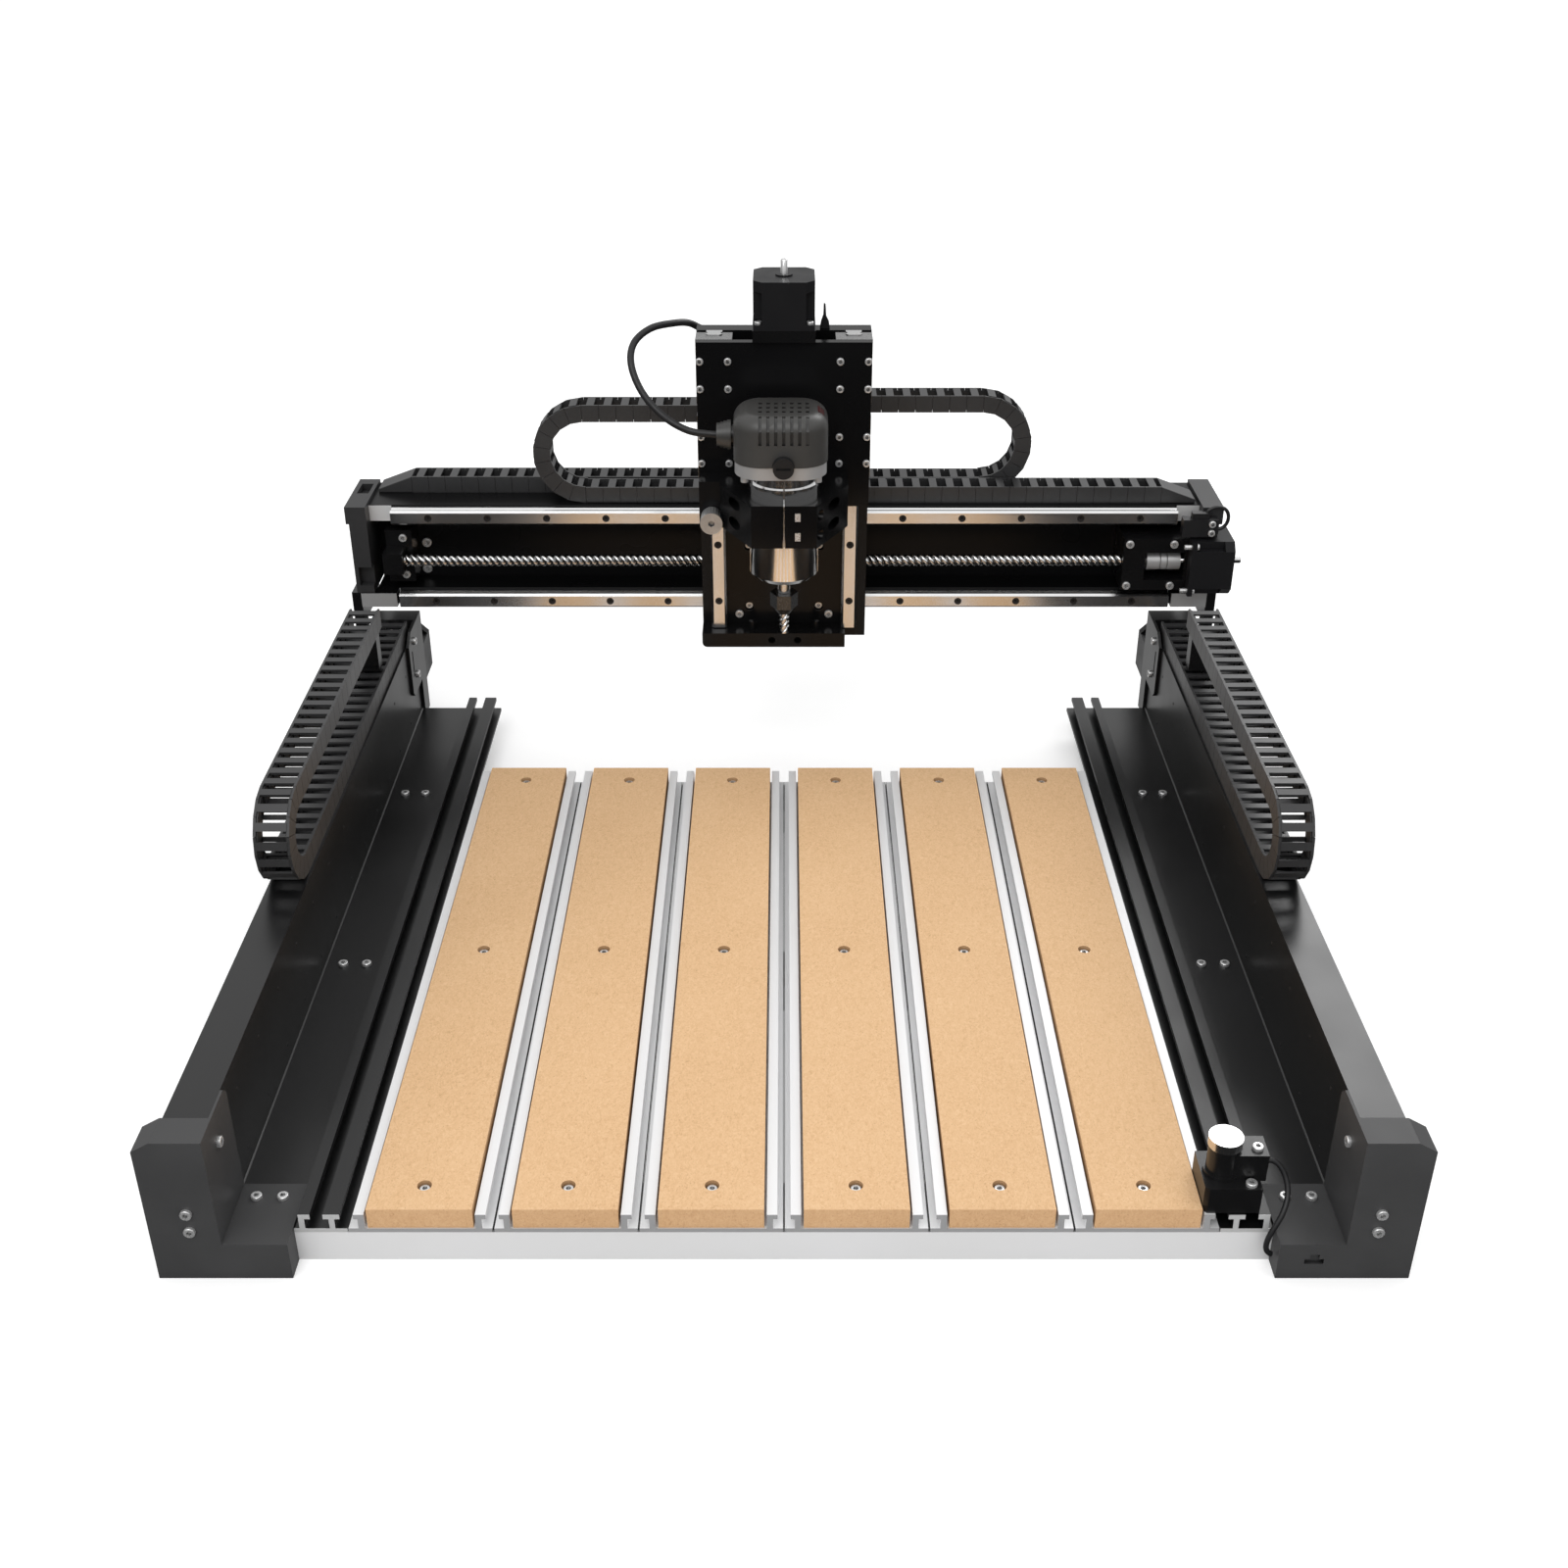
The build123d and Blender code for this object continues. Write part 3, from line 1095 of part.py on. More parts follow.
def half_ring(centre, outer, inner, across0, across1, axis, side):
    """Half of a hollow ring: the chain's bend, opening away from the side it bulges to."""
    u, z = centre
    wall = CHAIN_WALL

    def drum(radius, a, b):
        if axis == "y":
            return rod((u, a, z), (u, b, z), radius)
        return rod((a, u, z), (b, u, z), radius)

    ring = drum(outer, across0, across1) - drum(inner, across0 - 1, across1 + 1)
    hollow = drum(outer - wall, across0 + wall, across1 - wall) - drum(inner + wall, across0, across1)
    ring = ring - hollow
    far = 2 * outer
    low, high = (u, u + far) if side < 0 else (u - far, u)
    if axis == "y":
        keep_out = block(low, high, across0 - 5, across1 + 5, z - far, z + far)
    else:
        keep_out = block(across0 - 5, across1 + 5, low, high, z - far, z + far)
    return ring - keep_out


def y_chain_base():
    """Lower run of the left Y chain on the wall's top, with its anchor tongue."""
    top = Y_CHAIN_BASE + Y_CHAIN_HIGH
    run = chain_run(-Y_CHAIN_OUT, -Y_CHAIN_IN, Y_CHAIN_BEND, Y_CHAIN_ANCHOR, Y_CHAIN_BASE, top, "y")
    high = Y_CHAIN_BASE + CHAIN_WALL
    tongue = block(-Y_CHAIN_OUT + 4, -Y_CHAIN_IN - 4, Y_CHAIN_ANCHOR - 6, 474.0, Y_CHAIN_BASE, high)
    return run + tongue


def y_chain_top():
    """Upper run of the left Y chain."""
    low = Y_CHAIN_TOP - Y_CHAIN_HIGH
    return chain_run(-Y_CHAIN_OUT, -Y_CHAIN_IN, Y_CHAIN_BEND, Y_CHAIN_END + 17, low, Y_CHAIN_TOP, "y")


def y_chain_bend():
    """Bend of the left Y chain."""
    middle = (Y_CHAIN_TOP + Y_CHAIN_BASE) / 2
    outer = (Y_CHAIN_TOP - Y_CHAIN_BASE) / 2
    inner = outer - Y_CHAIN_HIGH
    return half_ring((Y_CHAIN_BEND - FIT, middle), outer, inner, -Y_CHAIN_OUT, -Y_CHAIN_IN, "x", -1)


def x_chain_base(y0, y1, side):
    """Lower run of an X chain on the gantry; side is the end its bend is at."""
    top = X_CHAIN_BASE + X_CHAIN_HIGH
    ends = sorted((side * X_CHAIN_BEND, -side * X_CHAIN_ANCHOR))
    run = chain_run(ends[0], ends[1], y0, y1, X_CHAIN_BASE, top, "x")
    ramp = [
        (-side * X_CHAIN_ANCHOR, X_CHAIN_BASE), (-side * X_CHAIN_ANCHOR, top),
        (-side * X_CHAIN_RAMP, X_CHAIN_BASE + 3), (-side * X_CHAIN_RAMP, X_CHAIN_BASE),
    ]
    return run + prism_y(ramp, y0, y1)


def x_chain_top(y0, y1, side):
    """Upper run of an X chain, ending on the carriage's shelf."""
    low = X_CHAIN_TOP - X_CHAIN_HIGH
    ends = sorted((side * X_CHAIN_BEND, -side * 22.0))
    return chain_run(ends[0], ends[1], y0, y1, low, X_CHAIN_TOP, "x")


def x_chain_bend(y0, y1, side):
    """Bend of an X chain."""
    middle = (X_CHAIN_TOP + X_CHAIN_BASE) / 2
    outer = (X_CHAIN_TOP - X_CHAIN_BASE) / 2
    inner = outer - X_CHAIN_HIGH
    return half_ring((side * (X_CHAIN_BEND + FIT), middle), outer, inner, y0, y1, "y", side)


# ================================================================ the nodes
def write_frame():
    """Nodes that stand still."""
    bars = [cut_all(crossbar(y), crossbar_holes()) for y in CROSSBAR_Y]
    write("crossbars", *bars)
    write("table_panels", *[table_panel(x) for x in slat_centres()])
    write("mdf_slats", *[slat(x) for x in slat_centres()])
    write("slat_screws", *[slat_screw(x, y) for x in slat_centres() for y in SLAT_SCREW_Y])
    left = side_beam()
    write("y_beam_left", left)
    write("y_beam_right", mirrored(left))
    cap = front_cap()
    write("front_cap_left", cap)
    write("front_cap_right", mirrored(cap) - cable_port())
    write("rear_mounts", *both_sides(rear_mount()))
    write("y_rails", *[part for z in Y_RAIL_Z for part in both_sides(y_rail(z))])
    write("y_motors", *both_sides(motor_on_y() * motor()))
    write("y_chain_bases", *both_sides(y_chain_base()))
    write("probe_base", probe_base())
    write("probe_cable", probe_cable())
    write("frame_screws", *frame_screws())


def frame_screws():
    """Every exposed screw on the frame, and the Y rail screws."""
    screws = [screw(point, (0, 0, 1), 9.5) for point in beam_screw_points()]
    left = [screw((-CAP_SCREW_X, CAP_FRONT, z), (0, -1, 0), 12) for z in CAP_SCREW_Z]
    left.append(screw((-WALL_IN + 2, TALL_SCREW_Y, TALL_SCREW_Z), (1, 0, 0), 12))
    left.extend(screw((-REAR_IN, REAR_SCREW_Y, z), (1, 0, 0), 9) for z in REAR_SCREW_Z)
    left.extend(motor_on_y() * part for part in motor_screws())
    left.extend(on_y(z) * rail_screw(x) for z in Y_RAIL_Z for x in y_rail_holes())
    for part in left:
        screws.extend(both_sides(part))
    screws.extend(screw(at, (0, 0, 1), 9.5) for at in probe_screw_points())
    return screws


def write_gantry():
    """Nodes that travel with the gantry."""
    write("x_beam", x_beam())
    end = gantry_end()
    write("gantry_ends", end - top_pocket(), cut_all(mirrored(end), [motor_relief()] + limit_switch_holes()))
    write("y_carriages", *both_sides(y_carriage()))
    blocks = [on_y(z) * guide_block(y) for y in Y_BLOCK_Y for z in Y_RAIL_Z]
    write("y_blocks", *[part for piece in blocks for part in both_sides(piece)])
    write("y_nuts", *both_sides(y_nut()))
    write("x_rails", *[x_rail(z) for z in X_RAIL_Z])
    write("x_screw_mounts", x_bearing(), x_motor_mount())
    write("x_motor", motor_on_x() * motor())
    write("limit_switch", limit_switch())
    write("gantry_screws", *gantry_screws())
    write("x_chain_bases", x_chain_base(*X_CHAIN_Y[0], -1), x_chain_base(*X_CHAIN_Y[1], 1))
    write("y_chain_tops", *both_sides(y_chain_top()))


def gantry_screws():
    """Every screw that travels with the gantry."""
    screws = [part for piece in y_carriage_screws() for part in both_sides(piece)]
    screws.extend(screw((BEARING_SCREW_X, BEARING_FRONT, z), (0, -1, 0), 33) for z in BEARING_SCREW_Z)
    screws.extend(screw((x, MOUNT_FRONT, z), (0, -1, 0), 57) for x, z in x_mount_points())
    screws.extend(
        screw((x, RECESS_BACK, z), (0, -1, 0), 3.5, head_radius=RECESS_HEAD) for x, z in RECESS_SCREWS
    )
    screws.extend(
        screw((SWITCH_SCREW_X, SWITCH_FRONT, z), (0, -1, 0), 20, head_radius=SMALL_HEAD)
        for z in SWITCH_SCREW_Z
    )
    screws.extend(motor_on_x() * part for part in motor_screws())
    screws.extend(on_x(z) * rail_screw(x) for z in X_RAIL_Z for x in x_rail_holes())
    return screws


def write_x_carriage():
    """Nodes that travel with the X carriage."""
    write("x_carriage_plate", x_plate())
    write("x_blocks", *[on_x(z) * guide_block(x) for x in X_BLOCK_X for z in X_RAIL_Z])
    write("x_nut", x_nut())
    write("z_rails", z_rail(-Z_RAIL_X), z_rail(Z_RAIL_X))
    write("z_bottom_plate", bottom_plate())
    write("z_motor_mount", z_motor_mount())
    write("z_motor", motor_on_z() * motor())
    write("carriage_screws", *carriage_screws())
    write("x_chain_tops", x_chain_top(*X_CHAIN_Y[0], -1), x_chain_top(*X_CHAIN_Y[1], 1))


def carriage_screws():
    """Every screw that travels with the X carriage."""
    screws = [screw((x, X_PLATE_FRONT, BOTTOM_SCREW_Z), (0, -1, 0), 13) for x in BOTTOM_SCREW_X]
    for x, z in x_block_bolts():
        screws.append(screw((x, X_PLATE_FRONT + 6, z), (0, -1, 0), 29, shank_radius=THIN_SHANK))
    screws.extend(motor_on_z() * part for part in motor_screws())
    screws.extend(on_z(x) * rail_screw(z) for x in (-Z_RAIL_X, Z_RAIL_X) for z in z_rail_holes())
    return screws


def write_z_carriage():
    """Nodes that travel with the router."""
    write("z_plate", z_plate())
    write("z_blocks", *[on_z(x) * guide_block(z) for x in (-Z_RAIL_X, Z_RAIL_X) for z in Z_BLOCK_Z])
    write("z_nut", z_nut())
    write("router_mount", router_mount())
    bolts = [
        screw((x, Z_PLATE_FRONT, z), (0, -1, 0), 15, head_radius=SMALL_HEAD, shank_radius=THIN_SHANK)
        for x, z in z_block_bolts()
    ]
    bolts.extend(screw((x, 374, z), (0, -1, 0), 14) for x, z in mount_bolts())
    bolts.extend(clamp_screw(z) for z in CLAMP_SCREW_Z)
    write("z_plate_screws", *bolts)
    write("router_can", router_can())
    write("router_band", router_band())
    write("router_head", router_head())
    write("brush_cap", brush_cap())
    write("strain_relief", strain_relief())
    write("router_cord", router_cord())


def write_small_movers():
    """Nodes with their own joints."""
    left = y_drive()
    write("y_screw_left", left)
    write("y_screw_right", mirrored(left))
    write("x_screw", *x_drive())
    write("x_coupler", x_coupler())
    write("z_screw", z_drive())
    write("y_chain_bends", *both_sides(y_chain_bend()))
    write("x_chain_bends", x_chain_bend(*X_CHAIN_Y[0], -1), x_chain_bend(*X_CHAIN_Y[1], 1))
    write("probe_button", probe_button())
    write("mount_knob", thumb_knob())
    write("power_switch", power_switch())
    write("collet_nut", collet())
    write("cutter", cutter())


write_frame()
write_gantry()
write_x_carriage()
write_z_carriage()
write_small_movers()
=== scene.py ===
"""Looks for the bench-top CNC router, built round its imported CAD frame. Metres, +Z up, front towards -Y."""
import math

import bmesh
import bpy
from mathutils import Matrix, Vector


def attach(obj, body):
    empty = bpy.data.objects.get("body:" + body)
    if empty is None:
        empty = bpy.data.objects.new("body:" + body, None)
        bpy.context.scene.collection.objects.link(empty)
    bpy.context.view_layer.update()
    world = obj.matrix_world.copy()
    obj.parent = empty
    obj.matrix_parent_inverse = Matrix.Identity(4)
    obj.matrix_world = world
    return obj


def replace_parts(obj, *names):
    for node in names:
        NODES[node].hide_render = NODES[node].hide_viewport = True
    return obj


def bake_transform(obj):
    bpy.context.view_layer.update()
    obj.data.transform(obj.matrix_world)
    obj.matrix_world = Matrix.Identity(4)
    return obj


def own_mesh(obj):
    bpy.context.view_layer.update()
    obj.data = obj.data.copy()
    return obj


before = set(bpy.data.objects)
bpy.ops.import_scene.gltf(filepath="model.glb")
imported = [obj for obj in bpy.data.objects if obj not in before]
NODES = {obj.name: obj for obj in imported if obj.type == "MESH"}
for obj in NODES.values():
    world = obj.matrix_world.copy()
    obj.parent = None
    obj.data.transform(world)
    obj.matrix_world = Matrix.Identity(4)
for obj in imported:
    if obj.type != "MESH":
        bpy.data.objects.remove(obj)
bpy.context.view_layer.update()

# ------------------------------------------------------------ driving dimensions
# table and side walls
SLAT_PITCH = 0.1016
# half width of the painted shadow strip along each table panel seam
SEAM_SHADOW_HALF = 0.0007
WALL_X = 0.390
SHELF_Z = 0.029
PLUG_PITCH = 0.060
PLUG_COUNT = 12
PLUG_ROWS = (0.043, 0.097)

# ball screws: starts share a lead, LAND is the uncut share of a pitch
SCREW_RADIUS = 0.006
GROOVE_DEPTH = 0.0013
LAND = 0.38
LEAD_XY = 0.020
PITCH_XY = LEAD_XY / 3
LEAD_Z = 0.010
PITCH_Z = LEAD_Z / 2
JOURNAL_RADIUS = 0.004
SLEEVE_RADIUS = 0.0095
SHAFT_RADIUS = 0.00317

# router
ROUTER_Y = 0.335
CUTTER_TIP = 0.1845
CUTTER_SHANK = 0.2045
CUTTER_TOP = 0.240
FLUTE_DEPTH = 0.0013
FLUTE_TURN = 0.0135
CORD_RADIUS = 0.0033

# cable chains: a bar's start and end are shares of a link, for the outside and the inside
CHAIN_PITCH = 0.017
CHAIN_INSET = 0.0006
CHAIN_PLATE = 0.0022
CHAIN_TAB = 0.0010
CHAIN_BAR = 0.0020
CHAIN_GAP = 0.00018
EVEN_BARS = ((0.28, 0.72), (0.28, 0.72))
STAGGERED_BARS = ((0.25, 0.73), (-0.18, 0.56))

# camera
CAMERA_PLACE = (0.0, -1.2544, 0.9247)
CAMERA_TILT = 60.215
CAMERA_LENS = 41.4


# ------------------------------------------------------------ material kit
def mixer_ends(mixer):
    """The A, B and result sockets that a mix node's data type uses."""
    live = [socket for socket in mixer.inputs if socket.enabled and socket.name in ("A", "B")]
    result = [socket for socket in mixer.outputs if socket.enabled][0]
    return live[0], live[1], result


class Mat:
    """A node material with a Principled shader and short helpers for adding detail."""

    def __init__(self, name, color, metallic, roughness, specular=0.5):
        self.mat = bpy.data.materials.new(name)
        self.mat.use_nodes = True
        self.mat.diffuse_color = (*color, 1)
        self.tree = self.mat.node_tree
        self.shader = self.tree.nodes["Principled BSDF"]
        self.shader.inputs["Base Color"].default_value = (*color, 1)
        self.shader.inputs["Metallic"].default_value = metallic
        self.shader.inputs["Roughness"].default_value = roughness
        self.shader.inputs["Specular IOR Level"].default_value = specular
        self.position = self.node("ShaderNodeTexCoord").outputs["Object"]

    def node(self, kind, **inputs):
        """Add a node, setting inputs by name with underscores for spaces."""
        made = self.tree.nodes.new(kind)
        for key, value in inputs.items():
            made.inputs[key.replace("_", " ")].default_value = value
        return made

    def link(self, source, target):
        """Connect two sockets."""
        self.tree.links.new(source, target)

    def stretched(self, scale):
        """Object coordinates scaled by axis."""
        mapping = self.node("ShaderNodeMapping")
        mapping.inputs["Scale"].default_value = scale
        self.link(self.position, mapping.inputs["Vector"])
        return mapping.outputs["Vector"]

    def noise(self, scale, detail=3.0, vector=None, rough=0.5):
        """Noise texture's value."""
        made = self.node("ShaderNodeTexNoise", Scale=scale, Detail=detail, Roughness=rough)
        self.link(vector or self.position, made.inputs["Vector"])
        return made.outputs["Fac"]

    def ramp(self, value, stops):
        """Colour ramp through (place, colour) stops."""
        made = self.node("ShaderNodeValToRGB")
        elements = made.color_ramp.elements
        for i, (place, color) in enumerate(stops):
            element = elements[i] if i < 2 else elements.new(place)
            element.position = place
            element.color = (*color, 1)
        self.link(value, made.inputs["Fac"])
        return made.outputs["Color"]

    def spread(self, value, low, high):
        """Map a 0.3-0.7 noise to a range of numbers."""
        made = self.node("ShaderNodeMapRange")
        made.inputs["From Min"].default_value = 0.3
        made.inputs["From Max"].default_value = 0.7
        made.inputs["To Min"].default_value = low
        made.inputs["To Max"].default_value = high
        self.link(value, made.inputs["Value"])
        return made.outputs["Result"]

    def math(self, operation, a, b):
        """Math node on two values, each a number or a socket."""
        made = self.node("ShaderNodeMath")
        made.operation = operation
        for socket, value in zip(made.inputs, (a, b)):
            if isinstance(value, float):
                socket.default_value = value
            else:
                self.link(value, socket)
        return made.outputs["Value"]

    def inside(self, low, high):
        """1 inside a box given in the machine's frame, 0 outside it."""
        split = self.node("ShaderNodeSeparateXYZ")
        self.link(self.position, split.inputs["Vector"])
        mask = None
        for axis, least, most in zip("XYZ", low, high):
            value = split.outputs[axis]
            above = self.math("GREATER_THAN", value, least)
            below = self.math("LESS_THAN", value, most)
            inner = self.math("MULTIPLY", above, below)
            mask = inner if mask is None else self.math("MULTIPLY", mask, inner)
        return mask

    def overlay(self, mask, color, metallic, roughness):
        """Another colour, metallic and roughness where the mask is 1, used for real finishes and for painted
        shade.
        """
        values = (("Base Color", (*color, 1)), ("Metallic", metallic), ("Roughness", roughness))
        for name, value in values:
            target = self.shader.inputs[name]
            mixer = self.node("ShaderNodeMix")
            mixer.data_type = "RGBA" if name == "Base Color" else "FLOAT"
            ends = mixer_ends(mixer)
            if target.links:
                self.link(target.links[0].from_socket, ends[0])
            else:
                ends[0].default_value = target.default_value
            ends[1].default_value = value
            self.link(mask, mixer.inputs[0])
            self.link(ends[2], target)

    def painted_cavity_shade(self, distance, shade=0.03):
        """Painted shade: darken the base colour by ambient occlusion in sockets and slots narrower than a
        distance.
        """
        openness = self.node("ShaderNodeAmbientOcclusion", Distance=distance)
        openness.samples = 6
        light = self.ramp(openness.outputs["AO"], [(0.22, (shade,) * 3), (0.52, (1, 1, 1))])
        mixer = self.node("ShaderNodeMixRGB", Fac=1.0)
        mixer.blend_type = "MULTIPLY"
        target = self.shader.inputs["Base Color"]
        self.link(target.links[0].from_socket, mixer.inputs["Color1"])
        self.link(light, mixer.inputs["Color2"])
        self.link(mixer.outputs["Color"], target)

    def bump(self, value, strength, distance):
        """Chain one more bump onto the normal."""
        made = self.node("ShaderNodeBump", Strength=strength, Distance=distance)
        self.link(value, made.inputs["Height"])
        normal = self.shader.inputs["Normal"]
        if normal.links:
            self.link(normal.links[0].from_socket, made.inputs["Normal"])
        self.link(made.outputs["Normal"], normal)

    def roughen(self, value, low, high):
        """Vary roughness between two values."""
        self.link(self.spread(value, low, high), self.shader.inputs["Roughness"])

    def tint(self, value, stops):
        """Colour from a ramp."""
        self.link(self.ramp(value, stops), self.shader.inputs["Base Color"])


def anodised_black(name, grain_axis, roughness=0.32, specular=0.5, bare=(), shade=0.62):
    """Black anodised aluminium with die lines along one axis, bare metal inside the given boxes."""
    m = Mat(name, (0.0045, 0.0045, 0.0048), 0.0, roughness, specular)
    scale = [2200.0, 2200.0, 2200.0]
    scale[grain_axis] = 14.0
    lines = m.noise(1.0, 2.0, m.stretched(scale))
    cloud = m.noise(9.0, 3.0)
    m.roughen(cloud, roughness - 0.04, roughness + 0.04)
    m.tint(cloud, [(0.30, (0.0040, 0.0040, 0.0043)), (0.72, (0.0056, 0.0056, 0.0060))])
    for low, high in bare:
        m.overlay(m.inside(low, high), (shade, shade, shade), 0.4, 0.42)
    m.bump(lines, 0.12, 0.00003)
    m.bump(m.noise(5200.0, 2.0), 0.10, 0.00002)
    return m.mat


def clear_aluminium(name, grain_axis, shade=0.80, metallic=0.35, grey_ends=(), seam_shadows=()):
    """Clear anodised aluminium with die lines along one axis; boxes bound its darker grey end faces and a
    painted shadow along each panel seam.
    """
    m = Mat(name, (shade, shade, shade * 1.01), metallic, 0.40)
    scale = [1800.0, 1800.0, 1800.0]
    scale[grain_axis] = 9.0
    lines = m.noise(1.0, 3.0, m.stretched(scale))
    m.roughen(lines, 0.34, 0.48)
    m.tint(m.noise(6.0), [(0.25, (shade * 0.95,) * 3), (0.75, (shade, shade, shade * 1.01))])
    # darker grey on the end faces inside these boxes
    for low, high in grey_ends:
        m.overlay(m.inside(low, high), (0.36, 0.36, 0.365), 0.3, 0.5)
    # painted shadow: a near-black strip along each panel seam
    for low, high in seam_shadows:
        m.overlay(m.inside(low, high), (0.03, 0.03, 0.03), 0.0, 0.8)
    m.bump(lines, 0.18, 0.00004)
    return m.mat


def moulded(name, color, roughness, grain=1500.0, strength=0.25, specular=0.5, shade_reach=0.006):
    """Moulded plastic with a fine spark-eroded grain, and painted shade in its hollows."""
    m = Mat(name, color, 0.0, roughness, specular)
    cloud = m.noise(14.0, 3.0)
    darker = tuple(c * 0.9 for c in color)
    lighter = tuple(c * 1.1 for c in color)
    m.tint(cloud, [(0.3, darker), (0.7, lighter)])
    m.roughen(cloud, roughness - 0.05, roughness + 0.05)
    # painted shade in hollows and sockets, as far as the given reach
    m.painted_cavity_shade(shade_reach)
    m.bump(m.noise(grain, 3.0), strength, 0.00006)
    m.bump(m.noise(220.0, 2.0), 0.05, 0.0001)
    return m.mat


def ground_steel(name, grain_axis, shade=0.80, roughness=0.2):
    """Ground steel with bright lines along one axis."""
    m = Mat(name, (shade, shade, shade), 1.0, roughness)
    scale = [4200.0, 4200.0, 4200.0]
    scale[grain_axis] = 22.0
    lines = m.noise(1.0, 3.0, m.stretched(scale))
    m.roughen(lines, roughness - 0.04, roughness + 0.05)
    m.tint(m.noise(30.0), [(0.3, (shade * 0.95,) * 3), (0.7, (shade,) * 3)])
    m.bump(lines, 0.05, 0.00001)
    return m.mat


def bright_steel(name, shade=0.66, roughness=0.22, dark=(), metallic=1.0, light=(), shade_reach=0.0035):
    """Plated steel with light handling marks and painted shade in its hollows; near-black painted shade
    inside the dark boxes, bright steel inside the light boxes.
    """
    m = Mat(name, (shade, shade, shade * 1.01), metallic, roughness)
    marks = m.noise(700.0, 4.0)
    m.roughen(marks, roughness - 0.07, roughness + 0.1)
    m.tint(m.noise(160.0), [(0.3, (shade * 0.85,) * 3), (0.7, (shade,) * 3)])
    # painted shade: near-black inside the dark boxes
    for low, high in dark:
        m.overlay(m.inside(low, high), (0.012, 0.010, 0.009), 0.0, 0.5)
    for low, high in light:
        m.overlay(m.inside(low, high), (0.75, 0.75, 0.75), 1.0, 0.22)
    # painted shade in hollows and sockets, as far as the given reach
    m.painted_cavity_shade(shade_reach)
    m.bump(marks, 0.1, 0.00004)
    return m.mat


def fibreboard(name):
    """Raw fibreboard: warm tan with short darker fibres and a soft surface."""
    m = Mat(name, (0.66, 0.44, 0.25), 0.0, 0.72, 0.25)
    fibres = m.node("ShaderNodeTexNoise", Scale=1.0, Detail=5.0, Roughness=0.65, Distortion=1.4)
    m.link(m.stretched((420.0, 250.0, 300.0)), fibres.inputs["Vector"])
    cloud = m.noise(11.0, 4.0)
    flecks = m.node("ShaderNodeTexVoronoi", Scale=330.0, Randomness=1.0)
    m.link(m.position, flecks.inputs["Vector"])
    blend = m.node("ShaderNodeMath")
    blend.operation = "MULTIPLY_ADD"
    m.link(fibres.outputs["Fac"], blend.inputs[0])
    blend.inputs[1].default_value = 0.70
    m.link(m.spread(cloud, 0.12, 0.18), blend.inputs[2])
    base = m.ramp(blend.outputs["Value"], [
        (0.30, (0.53, 0.318, 0.160)), (0.43, (0.68, 0.430, 0.228)), (0.52, (0.73, 0.474, 0.262)),
        (0.66, (0.79, 0.535, 0.312)),
    ])
    speck = m.ramp(flecks.outputs["Distance"], [(0.0, (0.38, 0.28, 0.20)), (0.19, (1, 1, 1))])
    mixer = m.node("ShaderNodeMixRGB", Fac=0.6)
    mixer.blend_type = "MULTIPLY"
    m.link(base, mixer.inputs["Color1"])
    m.link(speck, mixer.inputs["Color2"])
    geometry = m.node("ShaderNodeNewGeometry")
    split = m.node("ShaderNodeSeparateXYZ")
    m.link(geometry.outputs["Normal"], split.inputs["Vector"])
    side = m.ramp(split.outputs["Z"], [(0.1, (0.72, 0.68, 0.64)), (0.8, (1, 1, 1))])
    edge = m.node("ShaderNodeMixRGB", Fac=1.0)
    edge.blend_type = "MULTIPLY"
    m.link(mixer.outputs["Color"], edge.inputs["Color1"])
    m.link(side, edge.inputs["Color2"])
    m.link(edge.outputs["Color"], m.shader.inputs["Base Color"])
    m.roughen(cloud, 0.66, 0.8)
    m.bump(fibres.outputs["Fac"], 0.25, 0.00025)
    m.bump(m.noise(2600.0), 0.2, 0.00008)
    return m.mat


def rubber(name, color=(0.022, 0.022, 0.023), roughness=0.5):
    """Cable sheath."""
    m = Mat(name, color, 0.0, roughness, 0.4)
    m.roughen(m.noise(120.0), roughness - 0.08, roughness + 0.08)
    m.bump(m.noise(900.0), 0.12, 0.00006)
    return m.mat


def painted(name, color=(0.013, 0.013, 0.014), roughness=0.38):
    """Satin paint with slight orange peel."""
    m = Mat(name, color, 0.0, roughness, 0.14)
    m.roughen(m.noise(40.0), roughness - 0.05, roughness + 0.06)
    m.bump(m.noise(900.0, 2.0), 0.12, 0.00005)
    m.bump(m.noise(3800.0, 2.0), 0.1, 0.00003)
    return m.mat


def both_sides(low, high):
    """A box given on the right, and its mirror image on the left."""
    return [((-high[0], low[1], low[2]), (-low[0], high[1], high[2])), (low, high)]


# Boxes that bound another finish, or painted shade where noted, as lowest and highest corners in the
# machine's frame.
BEAM_POST_ENDS = [((-0.345, -0.3152, 0.0), (0.345, -0.3146, 0.045))]
RAIL_SEATS = [
    *both_sides((0.3990, 0.470, 0.2440), (0.4221, 0.4758, 0.2606)),
    *both_sides((0.3990, 0.470, 0.1530), (0.4221, 0.4758, 0.1698)),
]
FOOT_FACES = both_sides((0.3995, 0.4575, 0.1555), (0.4365, 0.4585, 0.1715))
# Painted shade: near-black on the screw heads sunk in the counterbores of the X rails, and of the Z rails
# below.
X_RAIL_HEAD_SHADE = [
    ((-0.370, 0.455, 0.150), (0.370, 0.480, 0.170)), ((-0.370, 0.455, 0.2446), (0.370, 0.480, 0.260)),
]
Z_RAIL_HEAD_SHADE = both_sides((0.0605, 0.400, 0.15), (0.0695, 0.417, 0.46))
# Darker grey on the table panels' front end faces.
PANEL_ENDS = [((-0.306, -0.3155, 0.0), (0.306, -0.3146, 0.045))]
# Painted shadow: near-black strips along the joins between table panels.
PANEL_SEAM_SHADOWS = [
    ((i * SLAT_PITCH - SEAM_SHADOW_HALF, -0.316, 0.0), (i * SLAT_PITCH + SEAM_SHADOW_HALF, 0.316, 0.0295))
    for i in range(-2, 3)
]
SPINDLE_NOSE = [((-0.02, 0.31, 0.2273), (0.02, 0.36, 0.262))]
